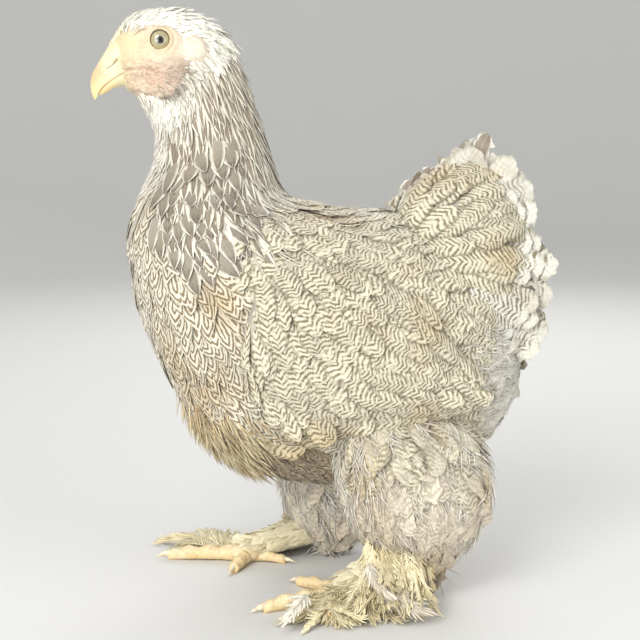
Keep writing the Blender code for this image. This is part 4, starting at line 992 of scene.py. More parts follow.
def headCoat():
    draw = np.random.default_rng(6)
    s, t = plant(trunkBed, 2.3, 2.0, (.6, 6.6), (0, 2 * math.pi), 61, .35)
    spot = trunkAt(s, t)
    x, z = spot[:, 0], spot[:, 2]
    inside = faceDistance(x, z)
    # few short bristles on the skin near the outline, none round the eye or on the bill's side
    chance = np.where(inside < 0, 1, .55 * smoothStep(inside, face["thinning"], 0) ** 2)
    clear = np.hypot(x - face["eye"][0], z - face["eye"][1]) < 10.5
    lobe = np.hypot((x - face["lobe"][0]) / 8.4, (z - face["lobe"][1]) / 9.2) < 1
    keep = (draw.uniform(0, 1, len(s)) < chance) & ~clear & ~lobe & ~((s < 3.6) & (z < 405)) & (z > 376)
    s, t, inside = s[keep], t[keep], inside[keep]
    back = smoothStep(s, 3.5, 6.2)
    short = 1 - .45 * smoothStep(inside, -5, 1)
    crown = smoothStep(s, 3.4, 4.6) * smoothStep(s, 6.6, 5.4) * smoothStep(np.abs((t + math.pi) % (2 * math.pi) - math.pi), 1.2, .5)
    nape = smoothStep(s, 4.8, 6.0) * smoothStep(np.abs((t + math.pi) % (2 * math.pi) - math.pi), 1.0, .3)
    crown = np.maximum(crown, nape) * draw.uniform(0, 1.6, len(s)) ** 2
    roots = rootsOf(s, t, draw, (7.5 + 9 * back) * short, (3.1 + 1.2 * back) * (.4 + .6 * short), 1.5 + 1.6 * back + 2.0 * crown,
                    spread=.18, tilt=.2, vary=.25)
    fromBack = np.abs((t + math.pi) % (2 * math.pi) - math.pi)
    roots["shade"] = .62 * smoothStep(s, 4.3, 6.2) * smoothStep(fromBack, .2, 1.3) * draw.uniform(.2, 1, len(s))
    look = {"outline": "lance", "rows": 5, "across": 3, "sink": .5, "dome": .12, "thick": .25, "ragged": .08, "seed": 33}
    pieces = [vaneCoat("coat_head", trunkBed, roots, look, headFeather)]
    # fine bristles on the bare skin: along its low edge, behind the mouth and in front of the eye
    s, t = plant(trunkBed, 1.5, 1.5, (.6, 6.6), (0, 2 * math.pi), 63, .5)
    spot = trunkAt(s, t)
    x, z = spot[:, 0], spot[:, 2]
    inside = faceDistance(x, z)
    low = smoothStep(z, 413, 399) * smoothStep(x, -138, -120) * (.35 + .65 * smoothStep(inside, 12, 2))
    lore = .22 * smoothStep(np.hypot(x + 140, z - 429), 11, 3)
    clear = np.hypot(x - face["eye"][0] + 3, z - face["eye"][1]) < 14
    keep = (draw.uniform(0, 1, len(s)) < np.maximum(low, lore)) & (inside > -1) & ~clear
    bristles = rootsOf(s[keep], t[keep], draw, 8, .6, 3.4, spread=.35, bend=.2, tilt=.4, vary=.4)
    bristles["random"] = draw.uniform(0, 1, keep.sum()) ** 2
    pieces.append(strandCoat("bristles_face", trunkBed, bristles, {"rings": 4, "sink": -.9, "flat": .6, "wave": .04, "rise": 1}, bristle))
    return pieces


def wingCoats():
    pieces = []
    for side, patch, word in ((-1, (.60, .02, .18, .30), "left"), (1, (.60, .34, .18, .30), "right")):
        bed = wingBed(side, patch)
        draw = np.random.default_rng(70 + side)
        s, t = plant(bed, 9.5, 10.5, (0.0, .93), (-.96, 1.0), 71 + side)
        swing = .75 * smoothStep(s, .75, .05)      # over the shoulder the tips point more downwards
        edge = np.maximum(smoothStep(t, -.6, -.9), smoothStep(s, .72, .9))
        roots = rootsOf(s, t, draw, 34 + 8 * smoothStep(s, .3, .9), 14 + 6 * smoothStep(s, .0, .3), 6.2 + 2.2 * edge, turn=-swing,
                        spread=.20, tilt=.13, vary=.18)
        look = {"outline": "round", "rows": 9, "across": 7, "sink": 2.6, "dome": .085, "thick": .5, "ragged": .09, "seed": 34}
        pieces.append(vaneCoat("coat_wing_" + word, bed, picked(roots, s < .62), look, backFeather))
        # longer ones towards the tip
        s, t = plant(bed, 16, 9.6, (.46, .93), (-.96, 1.0), 75 + side)
        longer = rootsOf(s, t, draw, 52, 16.5, 7.6, spread=.10, tilt=.10, vary=.14)
        pieces.append(vaneCoat("coat_wing_tip_" + word, bed, longer, {**look, "dome": .12, "rows": 11}, longFeather))
        # flight feathers that show at the tip, long and plain
        b = np.linspace(-.75, .45, 8)
        flight = rootsOf(np.full(8, .50), b, draw, 72 - 12 * np.abs(b), 22, 4.4, turn=.05, spread=.02, curl=.05, tilt=.03, vary=.03)
        flight["shade"][:] = .25
        pieces.append(vaneCoat("flight_" + word, bed, flight,
                               {**look, "outline": "broad", "rows": 14, "across": 9, "seed": 35}, plainFeather))
    return pieces


def tailCoats():
    draw = np.random.default_rng(8)
    s, t = plant(fanBed, 17, 9.8, (20, 88), (-math.pi, math.pi), 81)
    late = smoothStep(s, 30, 90)
    roots = rootsOf(s, t, draw, 52 - 6 * late, 17.5, 7.2, spread=.17, bend=.12, tilt=.15, vary=.24)
    look = {"outline": "round", "rows": 11, "across": 7, "sink": 2.2, "dome": .12, "thick": .5, "ragged": .10, "seed": 36}
    return [vaneCoat("coat_tail", fanBed, roots, look, longFeather)]


tailFan = {
    # degrees and how far out the feathers lie there, so that the low ones pass outside the rump
    "out": [(-42, 45), (-25, 43), (-8, 37), (15, 28), (35, 19), (52, 9), (66, 4)],
    # degrees and how far the tips reach there, from the fan's own middle
    "reach": [(-44, 114), (-33, 124), (-25, 133), (-7, 137), (9, 131), (43, 131), (50, 124), (54, 112), (60, 98), (70, 76), (82, 50)],
    # feathers a side, first and last angle, root radius, tip short of the rim, share of out, curl, width, shade, lean
    "main": [(9, 47, -18, 62, 5, .32, 2, 31, .10, 0), (4, 59, 78, 26, -5, .5, 0, 13, .72, 6), (1, 55, 55, 84, -25, .5, 0, 15, .85, 12)],
    "rim": [(10, 49, -38, 84, -1, .82, 7, 30, .5, 0), (10, 55, -40, 74, 11, .95, 5, 28, .5, 0), (10, 68, -38, 62, 22, 1.05, 2, 26, .5, 0),
            (6, 82, 50, 24, 6, 1.1, 1, 15, .45, 0)],
}


def fanFeathers(name, layers, material, seed, bend=4):
    # tail feathers in a steep tent over the fan's own middle
    draw = np.random.default_rng(seed)
    v = 1 - (1 - np.linspace(0, 1, 14)) ** 1.7
    spines, normals, shades, lengths, widths = [], [], [], [], []
    for count, first, last, start, short, share, swing, width, shade, lean in layers:
        for side in (-1, 1):
            for f in np.linspace(0, 1, count):
                degrees = first + (last - first) * f + draw.uniform(-3.5, 3.5) * (count > 1)
                tip = table(tailFan["reach"], degrees) - short + draw.uniform(-8, 3) * (count > 1)
                curl = swing * draw.uniform(.5, 1.9)
                root = min(start, tip - 30)
                r = root + (tip - root) * v
                droop = np.radians(degrees - bend * v ** 2 - lean * (1 - v))
                late = np.maximum(v - .7, 0) / .3
                y = side * (table(tailFan["out"], degrees) * share * (1.2 - .3 * v) + curl * late ** 2 + draw.uniform(-.8, .8))
                spines.append(np.stack((fan["centre"][0] + r * np.cos(droop), y, fan["centre"][1] + r * np.sin(droop)), -1))
                lie = np.stack((-np.sin(droop), 0 * droop, np.cos(droop)), -1)
                back = np.stack((np.cos(droop), 0 * droop, np.sin(droop)), -1)
                twist = .28 + draw.uniform(-.12, .12)
                normals.append(unit(np.array((0, side, 0)) + lie * twist - back * (curl * .1 * late)[:, None]))
                shades.append(shade * (1 - .8 * smoothStep(degrees, 22, 42)) if shade == .5 else shade)
                lengths.append(tip - root)
                widths.append(width * draw.uniform(.78, 1.15))
    count = len(spines)
    roots = {"length": np.array(lengths), "width": np.array(widths), "random": draw.uniform(0, 1, count), "shade": np.array(shades)}
    look = {"outline": "round", "across": 9, "dome": .09, "thick": .6, "ragged": .24, "seed": seed}
    return freeVanes(name, np.array(spines), np.array(normals), roots, look, (.60, .66, .18, .32), material, v=v)


def tailUnder():
    # soft feathers that close the tail from behind, between its two sides: they run out and turn down at the tip
    draw = np.random.default_rng(15)
    angle, share = (v.ravel() for v in np.meshgrid(np.arange(-44, 56, 3.0), np.linspace(-1, 1, 9), indexing="ij"))
    count = len(angle)
    angle = angle + draw.uniform(-1.4, 1.4, count)
    share = share + draw.uniform(-.1, .1, count)
    v = np.linspace(0, 1, 8)
    tip = table(tailFan["reach"], angle) - 14 - draw.uniform(0, 7, count)
    r = 94 + (tip - 94)[:, None] * (1 - (1 - np.minimum(v / .7, 1)) ** 2)
    droop = np.radians(angle[:, None] - 8.5 * (np.maximum(v - .35, 0) / .65) ** 1.3)
    y = (table(tailFan["out"], angle) * .86 * share)[:, None] * (.8 + .2 * v)
    spines = np.stack((fan["centre"][0] + r * np.cos(droop), y, fan["centre"][1] + r * np.sin(droop)), -1)
    normals = np.cross(unit(np.gradient(spines, axis=1)), (0, 1.0, 0))
    normals = unit(normals + share[:, None, None] * np.array((0, .7, 0)))
    roots = {"length": tip - 94 + 12, "width": draw.uniform(13, 18, count), "random": draw.uniform(0, 1, count),
             "shade": draw.uniform(0, .4, count)}
    look = {"outline": "round", "across": 5, "dome": .10, "thick": .5, "ragged": .2, "seed": 15}
    return freeVanes("tail_under", spines, normals, roots, look, (.60, .66, .18, .32), rimFeather, v=v)


def mainTail():
    fanFeathers("tail_main", tailFan["main"], plainFeather, 12)
    fanFeathers("tail_rim", tailFan["rim"], rimFeather, 14)
    tailUnder()


def thighCoats():
    # broad soft feathers, and long wisps of down that stand out between them, most in front and below
    pieces = []
    for word, leg in legs.items():
        patch = (.80, .02 if leg["side"] < 0 else .26, .18, .22)
        bed = thighBed(leg, patch, 7.0)
        draw = np.random.default_rng(90 + leg["side"])
        s, t = plant(bed, 8.6, 8.6, (.3, 5.8), (0, 2 * math.pi), 91 + leg["side"], .35)
        low = smoothStep(s, 3.0, 5.4)
        roots = rootsOf(s, t, draw, 32 + 2 * low, 18 - 4 * low, 8.5 + 3 * low, spread=.32, tilt=.32, vary=.3)
        roots["shade"][:] = draw.uniform(.1, .5, len(s))
        look = {"outline": "broad", "rows": 8, "across": 7, "sink": 1.5, "dome": .10, "thick": .5, "ragged": .20, "seed": 37}
        upper = draw.uniform(0, 1, len(s)) < smoothStep(s, 2.2, .9)
        pieces.append(vaneCoat("coat_thigh_" + word, bed, picked(roots, ~upper), look, thighFeather))
        pieces.append(vaneCoat("coat_hip_" + word, bed, picked(roots, upper), {**look, "outline": "round", "ragged": .1}, backFeather))
        s, t = plant(bed, 3.2, 3.2, (.2, 5.9), (0, 2 * math.pi), 93 + leg["side"], .5)
        front = .5 - .5 * np.cos(t)
        some = draw.uniform(0, 1, len(s)) < .60 + .40 * np.maximum(front, smoothStep(s, 3.8, 5.4))
        s, t, front = s[some], t[some], front[some]
        strands = rootsOf(s, t, draw, 25 + 7 * smoothStep(s, 3.5, 5.6) + 5 * front, 2.1, 9.5 + 3 * front, spread=.38, bend=.25,
                          tilt=.6, vary=.4)
        # painted light: the far (right) thigh's down is paler, white down in place of grey, to lift the shade it lies
        # in under the body
        pieces.append(strandCoat("down_thigh_" + word, bed, strands,
                                 {"rings": 4, "sink": .5, "flat": .4, "wave": .08, "rise": 1.1},
                                 greyDown if leg["side"] < 0 else whiteDown))
        # wisps: locks of strands from one root each, that spread a little and bend one way
        s, t = plant(bed, 11, 11, (.2, 5.8), (0, 2 * math.pi), 95 + leg["side"], .5)
        edge = np.abs(np.cos(t)) ** 2
        some = draw.uniform(0, 1, len(s)) < .35 + .65 * np.maximum(edge, smoothStep(s, 4.0, 5.4))
        lock = 11
        s, t, edge, turn, bend = (np.repeat(value[some], lock) for value in (
            s, t, edge, draw.normal(0, .3, len(s)), draw.normal(.2, .5, len(s))))
        s, t = s + draw.normal(0, .03, len(s)), t + draw.normal(0, .03, len(s))
        wisps = rootsOf(s, t, draw, 32 + 6 * edge, 2.4, 8 + 5 * edge, turn=turn, spread=.10, bend=bend, tilt=.7, vary=.45)
        pieces.append(strandCoat("wisps_thigh_" + word, bed, wisps,
                                 {"rings": 5, "sink": .5, "flat": .25, "wave": .02, "rise": 1.0}, whiteDown))
    return pieces


def wrapGrid(name, along, around, pointAt, material, replaced=(), ride=True):
    # a grid rolled into a tube, welded along its seam and closed at both ends
    bm = bmesh.new()
    bmesh.ops.create_grid(bm, x_segments=along, y_segments=around, size=1)
    seat = (np.array([v.co[:2] for v in bm.verts]) + 1) / 2
    spots = (pointAt(seat[:, 0], seat[:, 1]) + partOrigin) * millimetre
    for vert, spot in zip(bm.verts, spots):
        vert.co = spot
    bmesh.ops.remove_doubles(bm, verts=bm.verts, dist=1e-6)
    bmesh.ops.holes_fill(bm, edges=[edge for edge in bm.edges if edge.is_boundary], sides=0)
    bmesh.ops.recalc_face_normals(bm, faces=bm.faces)
    return bmeshPiece(name, bm, material, replaced, ride)


def bmeshPiece(name, bm, material, replaced=(), ride=True):
    mesh = bpy.data.meshes.new(name)
    for polygon in bm.faces:
        polygon.smooth = True
    bm.to_mesh(mesh)
    bm.free()
    mesh.materials.append(material)
    piece = bpy.data.objects.new(name, mesh)
    bpy.context.scene.collection.objects.link(piece)
    if ride:
        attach(piece, "root")
        if replaced:
            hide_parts(*replaced)
        print(f"{name}: {len(mesh.polygons)} faces")
    return piece


def sculpt(x, y, z):
    # how far the bare face swells or sinks at each spot, from its side view
    ex, ez = face["eye"]
    r = np.hypot(x - ex, (z - ez) / .94)
    lower = smoothStep(z, ez + 3, ez - 3)
    swell = 1.5 * np.exp(-((r - 8.2) / 1.4) ** 2) - .5 * np.exp(-((r - 10.6) / .8) ** 2)
    swell += (.35 + .5 * lower) * np.exp(-((r - 12.4) / 1.2) ** 2) - 8 * smoothStep(r, 7.6, 5.8)
    brow = lineDistance(x, z, [(-143, 432), (-133, 440), (-120, 442.5), (-108, 438)])
    swell += 1.1 * np.exp(-(brow / 2.6) ** 2)
    lips = lineDistance(x, z, face["mouth"])
    swell += 1.0 * np.exp(-((lips - 2.6) / 1.5) ** 2) - 1.3 * np.exp(-(lips / .8) ** 2)
    for line, depth in (([(-146, 418), (-134, 414.5), (-118, 415)], .6), ([(-131, 408), (-124, 404), (-113, 403)], .7),
                        ([(-147, 402), (-134, 397), (-119, 395)], .6), ([(-143, 398.5), (-131, 393.5), (-120, 391)], .5),
                        ([(-112, 412), (-103, 408), (-97, 402)], .5)):
        d = lineDistance(x, z, line)
        swell += depth * (.8 * np.exp(-((d - 1.9) / 1.1) ** 2) - np.exp(-(d / .7) ** 2))
    lobe = np.hypot((x - face["lobe"][0]) / 8.6, (z - face["lobe"][1]) / 9.4) + .10 * np.sin(x * .9) * np.cos(z * .7)
    swell += 2.4 * smoothStep(lobe, 1.1, .5)
    swell += 1.6 * np.exp(-(((x + 140) / 9) ** 2 + ((z - 395) / 5) ** 2))
    return swell


def skinAt(g, h):
    s = table([(0, 0), (.56, 5.6), (1, 24)], g)
    t = h * 2 * math.pi
    spot = trunkAt(s, t)
    x, z = spot[:, 0], spot[:, 2]
    bare = smoothStep(faceDistance(x, z), -2, 1.5) * (s < 6)
    lobe = smoothStep(np.hypot((x - face["lobe"][0]) / 10, (z - face["lobe"][1]) / 11), 1.15, .9) * (s < 6.4)
    out = (table(trunk["coatDepth"], s) - .3) * np.maximum(bare, lobe)
    spot = trunkAt(s, t, out)
    here, along, around, normal = bedFrame(trunkBed, s, t)
    sideways = smoothStep(np.abs(spot[:, 1]), 4, 9)
    swell = sculpt(x, spot[:, 1], z) * sideways * np.maximum(bare, lobe)
    return spot + normal * swell[:, None]


def nearSpot(tree, flat, x, z, low, high):
    # 1 within low mm of a spot in the side view, and 0 beyond high mm
    seat = ((x + partOrigin[0]) * millimetre, 0, z * millimetre)
    d = addNode(tree, "ShaderNodeVectorMath", {0: flat, 1: seat}, operation="DISTANCE").outputs["Value"]
    return fade(tree, d, high * millimetre, low * millimetre)


def skinMaterials():
    # the face: pale peach, rosier round the mouth and in the folds, yellow by the bill, brown below the lobe, with
    # painted shade darkening the creases
    bare, tree, shader = newMaterial("face_skin", 0.5, Subsurface_Weight=0.12, Specular_IOR_Level=0.35)
    shader.inputs["Subsurface Radius"].default_value = (.004, .0015, .0008)
    shader.inputs["Subsurface Scale"].default_value = 1.0
    spot = addNode(tree, "ShaderNodeTexCoord").outputs["Object"]
    flat = addNode(tree, "ShaderNodeVectorMath", {0: spot, 1: (1, 0, 1)}, operation="MULTIPLY").outputs[0]
    fine = addNode(tree, "ShaderNodeTexNoise", {"Vector": spot, "Scale": 420.0, "Detail": 4.0}).outputs[0]
    blotch = addNode(tree, "ShaderNodeTexNoise", {"Vector": spot, "Scale": 130.0, "Detail": 3.0}).outputs[0]
    colour = blend(tree, fade(tree, blotch, .35, .7), (0.66, 0.56, 0.42), (0.59, 0.455, 0.34))
    for (x, z, low, high), shade, share in (
            ((-152, 426, 5, 25), face["cream"], .95), ((-125, 430.7, 7.5, 13), (0.64, 0.54, 0.34), .7),
            ((-128, 403, 2, 15), (0.62, 0.385, 0.29), .5), ((-108, 404, 4, 19), (0.33, 0.265, 0.21), .85),
            ((-112, 397, 2, 14), (0.54, 0.40, 0.31), .5), ((-99.3, 424.5, 7, 12), (0.69, 0.65, 0.52), 1.0),
            ((-148, 398, 1, 12), (0.72, 0.52, 0.38), .4), ((-153, 403, 2, 10), (0.70, 0.585, 0.36), .8), ((-116, 412, 1, 9), (0.62, 0.48, 0.37), .35)):
        colour = blend(tree, maths(tree, "MULTIPLY", nearSpot(tree, flat, x, z, low, high), share), colour, shade)
    for x in np.arange(-150, -129, 1.2):
        z = table(face["mouth"], x)
        colour = blend(tree, maths(tree, "MULTIPLY", nearSpot(tree, flat, x, z, .2, 1.5), .35), colour, (0.42, 0.22, 0.14))
    colour = blend(tree, maths(tree, "MULTIPLY", fade(tree, fine, .5, .7), .30), colour, (0.46, 0.29, 0.20))
    cells = addNode(tree, "ShaderNodeTexVoronoi", {"Vector": spot, "Scale": 900.0}).outputs["Distance"]
    drawnOut = addNode(tree, "ShaderNodeMapping", {0: spot, 2: (0, .35, 0), 3: (1.0, 1.0, 2.6)}).outputs[0]
    folds = addNode(tree, "ShaderNodeTexNoise", {"Vector": drawnOut, "Scale": 170.0, "Detail": 3.0, "Distortion": 0.8}).outputs[0]
    creases = fade(tree, maths(tree, "ABSOLUTE", maths(tree, "SUBTRACT", folds, 0.5)), .0, .045, 1.0, 0.0)
    # the creases lie low on the cheek
    lower = fade(tree, addNode(tree, "ShaderNodeSeparateXYZ", {0: spot}).outputs[2], .424, .410)
    creases = maths(tree, "MULTIPLY", creases, lower)
    # painted shade: the creases darken towards red-brown, as the shade lying in them
    colour = blend(tree, maths(tree, "MULTIPLY", creases, .35), colour, (0.46, 0.28, 0.20))
    tree.links.new(colour, shader.inputs["Base Color"])
    grain = maths(tree, "ADD", maths(tree, "MULTIPLY", fine, 1.2), maths(tree, "MULTIPLY", cells, .5))
    bumped(tree, shader, maths(tree, "SUBTRACT", grain, maths(tree, "MULTIPLY", creases, 1.2)), .35, .8)
    under = downMaterial("under_coat", {"dark": (0.60, 0.54, 0.44), "pale": (0.80, 0.75, 0.64), "root": (0.5, 0.44, 0.36)})
    return bare, under


def skin():
    # one closed skin for the head, neck, body, wings, tail, thighs and shanks
    bare, under = skinMaterials()
    body = wrapGrid("skin", 210, 150, skinAt, bare, ride=False)
    body.data.materials.append(under)
    parts = []

    def core(name, along, around, at):
        parts.append(wrapGrid(name, along, around, at, under, ride=False))

    for side in (-1, 1):
        bed = wingBed(side, (0, 0, 1, 1))

        def padAt(g, h, bed=bed, side=side):
            outer = h < .5
            b = np.where(outer, h * 4 - 1, 3 - h * 4)
            return bed["at"](.02 + g * .92, b * .97, np.where(outer, -1.0, -22.0))

        core("wing_pad", 30, 60, padAt)
    core("tail_core", 24, 48, lambda g, h: fanAt(24 + g * 90, h * 2 * math.pi, -1.0))
    for leg in legs.values():
        thighPoint = thighBed(leg, (0, 0, 1, 1), 5.5)["at"]
        core("thigh_core", 30, 40, lambda g, h: thighPoint(g * 6, h * 2 * math.pi))
        shankPoint = shankBed(leg, (0, 0, 1, 1))["at"]
        core("shank_core", 16, 24, lambda g, h: shankPoint(g * 1.2 - .2, h * 2 * math.pi))
    group = bpy.data.collections.new("cores")
    for part in parts:
        group.objects.link(part)
    join = body.modifiers.new("cores", "BOOLEAN")
    join.operation, join.operand_type, join.solver, join.collection = "UNION", "COLLECTION", "MANIFOLD", group
    bpy.context.view_layer.update()
    joined = bpy.data.meshes.new_from_object(body.evaluated_get(bpy.context.evaluated_depsgraph_get()))
    body.modifiers.clear()
    body.data = joined
    for part in parts:
        bpy.data.objects.remove(part, do_unlink=True)
    bpy.data.collections.remove(group)
    # the face keeps its own finish, and what feathers cover takes the coat's
    bakeLayer = joined.uv_layers.new(name="OFBake")
    vaneLayer = joined.uv_layers.new(name="VaneMap")
    for polygon in joined.polygons:
        x, y, z = polygon.center / millimetre - Vector(partOrigin)
        polygon.use_smooth = True
        headward = z > 376 and x < -86
        polygon.material_index = 0 if headward else 1
        for loop in polygon.loop_indices:
            co = joined.vertices[joined.loops[loop].vertex_index].co / millimetre
            angle = math.atan2(co.y, co.z - 260) / (2 * math.pi) % 1
            bakeLayer.data[loop].uv = (.02 + .56 * angle, .02 + .96 * min(1, max(0, (co.x + 170) / 340)))
            vaneLayer.data[loop].uv = (.5, .1)
    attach(body, "root")
    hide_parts("head", "neck", "torso", "wing_left", "wing_right", "tail", "thigh_left", "thigh_right",
                "shank_left", "shank_right")
    print(f"skin: {len(joined.polygons)} faces")
    return body


beak = {
    # top x and z, low x and z, half width
    "upper": np.array([
        (-151, 435, -146, 409, 10.0), (-158.5, 432, -149, 408.8, 10.4), (-163, 427.4, -154.5, 406.2, 10),
        (-167.7, 420.3, -159.5, 403.2, 9), (-172.4, 412.7, -164.5, 399.8, 7.6), (-176.2, 405.6, -168.8, 396, 5.8),
        (-177.7, 398.6, -171.6, 392, 4), (-177.1, 391.8, -173, 388.4, 2.4), (-175.2, 386.6, -174.4, 386.2, .7)], float),
    "lower": np.array([
        (-149, 408.2, -148.5, 396.0, 8.8), (-156.6, 404.3, -155, 396.2, 7.8), (-162.5, 400.6, -161.8, 394, 6),
        (-167.2, 396.8, -166.4, 391.2, 4.2), (-171.2, 391.6, -170.8, 389.4, 1.8)], float),
    "nostril": [(-157.8, 415.6), (-161, 412.2), (-165, 409.2), (-167.6, 408.2)],
    "slit": [(-164.8, 409.8), (-162.4, 411.0), (-160.2, 412.9), (-158.2, 415.2), (-157.2, 416.6)],
}


def beakAt(rows, down):
    def at(g, h):
        tx, tz, lx, lz, half = np.moveaxis(smoothRows(rows, g * (len(rows) - 1)), -1, 0)
        t = h * 2 * math.pi
        lift = np.sign(np.sin(t)) * np.abs(np.sin(t)) ** .8
        lift = np.where(lift > 0, lift, lift * .06)
        up = 1 - lift if down else lift
        x, z = lx + (tx - lx) * up, lz + (tz - lz) * up
        y = half * np.cos(t)
        if not down:
            d = lineDistance(x, z, beak["nostril"])
            hole = np.hypot(x - beak["nostril"][0][0] + .6, z - beak["nostril"][0][1] + .8)
            y -= np.sign(y) * (.9 * np.exp(-(d / .8) ** 2) + 1.6 * np.exp(-(hole / 1.3) ** 2)) * (np.abs(y) > 2)
            y += np.sign(y) * .7 * np.exp(-((d - 2.1) / 1.2) ** 2) * (np.abs(y) > 2)
        return np.stack((x, y, z), -1)
    return at


def beakPieces():
    horn, tree, shader = newMaterial("beak_horn", 0.34, Subsurface_Weight=0.1, Coat_Weight=0.15, Coat_Roughness=0.3)
    shader.inputs["Subsurface Radius"].default_value = (.003, .002, .001)
    shader.inputs["Subsurface Scale"].default_value = 1.0
    spot = addNode(tree, "ShaderNodeTexCoord").outputs["Object"]
    place = addNode(tree, "ShaderNodeSeparateXYZ", {0: spot}).outputs
    down = fade(tree, place[2], 0.420, 0.388)
    streaks = addNode(tree, "ShaderNodeMapping", {0: spot, 3: (1.0, 3.0, .5)}).outputs[0]
    grain = addNode(tree, "ShaderNodeTexNoise", {"Vector": streaks, "Scale": 260.0, "Detail": 4.0}).outputs[0]
    colour = blend(tree, down, (0.76, 0.69, 0.44), (0.76, 0.59, 0.29))
    rosy = addNode(tree, "ShaderNodeVectorMath", {0: spot, 1: (-0.180, 0, .405)}, operation="DISTANCE").outputs["Value"]
    colour = blend(tree, maths(tree, "MULTIPLY", fade(tree, rosy, .013, .004), .55), colour, (0.66, 0.38, 0.22))
    colour = blend(tree, maths(tree, "MULTIPLY", fade(tree, grain, .45, .75), .35), colour, (0.62, 0.42, 0.2))
    # the skin runs on over the root of the bill as far as the nostril
    colour = blend(tree, fade(tree, place[0], -.174, -.165), colour, face["cream"])
    flat = addNode(tree, "ShaderNodeVectorMath", {0: spot, 1: (1, 0, 1)}, operation="MULTIPLY").outputs[0]
    # painted shade: the nostril's slit is painted dark, as the shade inside its opening
    for x in np.linspace(-164.8, -157.2, 13):
        dark = nearSpot(tree, flat, x, table(beak["slit"], x), .2, .8 + .05 * (x + 164.8))
        colour = blend(tree, maths(tree, "MULTIPLY", dark, .75), colour, (0.20, 0.12, 0.06))
    tree.links.new(colour, shader.inputs["Base Color"])
    bumped(tree, shader, grain, .25, .5)
    upper = wrapGrid("beak_upper_horn", 90, 72, beakAt(beak["upper"], False), horn, ("beak_upper",))
    lower = wrapGrid("beak_lower_horn", 50, 48, beakAt(beak["lower"], True), horn, ("beak_lower",))
    return upper, lower


def eyePieces():
    for name, side in (("eye_left", -1), ("eye_right", 1)):
        low, high = (Vector(corner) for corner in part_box(name))
        middle = (low + high) / 2
        iris, tree, shader = newMaterial("iris_" + name[4:], 0.12, Coat_Weight=1.0, Coat_Roughness=0.03)
        spot = addNode(tree, "ShaderNodeTexCoord").outputs["Object"]
        flat = addNode(tree, "ShaderNodeMapping", {0: spot, 1: (-middle.x, 0, -middle.z)}).outputs[0]
        flat = addNode(tree, "ShaderNodeVectorMath", {0: flat, 1: (1, 0, 1)}, operation="MULTIPLY").outputs[0]
        r = addNode(tree, "ShaderNodeVectorMath", {0: flat}, operation="LENGTH").outputs["Value"]
        rays = addNode(tree, "ShaderNodeTexNoise", {
            "Vector": addNode(tree, "ShaderNodeVectorMath", {0: flat}, operation="NORMALIZE").outputs[0],
            "Scale": 9.0, "Detail": 3.0}).outputs[0]
        colour = blend(tree, rays, (0.235, 0.215, 0.13), (0.40, 0.37, 0.24))
        colour = blend(tree, fade(tree, r, .0046, .0062), colour, (0.40, 0.33, 0.16))
        colour = blend(tree, fade(tree, r, .0064, .0070), colour, (0.07, 0.05, 0.03))
        colour = blend(tree, fade(tree, r, .0030, .0026), colour, (0.008, 0.007, 0.006))
        tree.links.new(colour, shader.inputs["Base Color"])
        bm = bmesh.new()
        bmesh.ops.create_uvsphere(bm, u_segments=48, v_segments=32, radius=(high.z - low.z) / 2)
        bmesh.ops.translate(bm, vec=middle, verts=bm.verts)
        bmeshPiece(name + "_ball", bm, iris, (name,))


def combPiece():
    pink, tree, shader = newMaterial("comb_skin", 0.5, Subsurface_Weight=0.15)
    shader.inputs["Subsurface Radius"].default_value = (.003, .001, .0006)
    spot = addNode(tree, "ShaderNodeTexCoord").outputs["Object"]
    fine = addNode(tree, "ShaderNodeTexNoise", {"Vector": spot, "Scale": 500.0, "Detail": 4.0}).outputs[0]
    tree.links.new(blend(tree, fade(tree, fine, .35, .65), (0.78, 0.70, 0.50), (0.72, 0.56, 0.40)), shader.inputs["Base Color"])
    bumped(tree, shader, fine, .3)
    bm = bmesh.new()
    tilt = math.radians(57)
    for row, size in ((-1, 2.1), (0, 2.8), (1, 2.1)):
        for k in range(5 if row == 0 else 4):
            along = (k - (2 if row == 0 else 1.5)) * 3.4
            made = bmesh.ops.create_icosphere(bm, subdivisions=3, radius=size * millimetre)["verts"]
            spot = np.array((-156.6 + along * math.cos(tilt), row * 3.0, 434.0 + along * math.sin(tilt)))
            bmesh.ops.translate(bm, vec=(spot + partOrigin) * millimetre, verts=made)
    bmeshPiece("comb_beads", bm, pink, ("comb",))


toeSizes = {
    "inner": {"radius": 5.6, "joints": 3, "claw": 13.0}, "middle": {"radius": 6.4, "joints": 4, "claw": 14.5},
    "outer": {"radius": 5.4, "joints": 4, "claw": 12.0}, "hind": {"radius": 4.8, "joints": 2, "claw": 12.0},
}


def toeLine(leg, digit):
    ball = np.array((leg["ball"][0], leg["side"] * leg["ball"][1], 0), float)
    tip = np.array((leg["toes"][digit][0], leg["side"] * leg["toes"][digit][1], 0), float)
    return ball, tip, unit(tip - ball), np.linalg.norm(tip - ball)


def toeAt(leg, digit):
    ball, tip, way, length = toeLine(leg, digit)
    facts = toeSizes[digit]
    across = np.cross(way, (0, 0, 1))

    def at(g, h):
        joints = facts["joints"]
        size = facts["radius"] * (1 - .22 * g) * (1 + .1 * np.cos(2 * math.pi * joints * g))
        size = size * np.sqrt(np.maximum(.02, 1 - np.clip((g - .9) / .1, 0, 1) ** 2 * .75))
        t = h * 2 * math.pi
        top = np.clip(np.sin(t), 0, 1)
        plates = length / 3.1
        saw = (g * plates) % 1
        scute = .55 * (saw ** 1.6 - .3) * top ** .7 * smoothStep(g, 1, .93)
        under = np.clip(-np.sin(t), 0, 1)
        pads = .25 * np.sin(g * length * 1.9 + 3 * np.cos(t * 5)) * under
        radius = size + scute + pads
        middle = ball + (tip - ball) * g[:, None]
        height = size * .86 + 1.6 * np.sin(math.pi * g)
        spot = middle + across * (radius * np.cos(t))[:, None]
        spot[:, 2] = np.maximum(height + radius * np.sin(t), 0)
        return spot
    return at


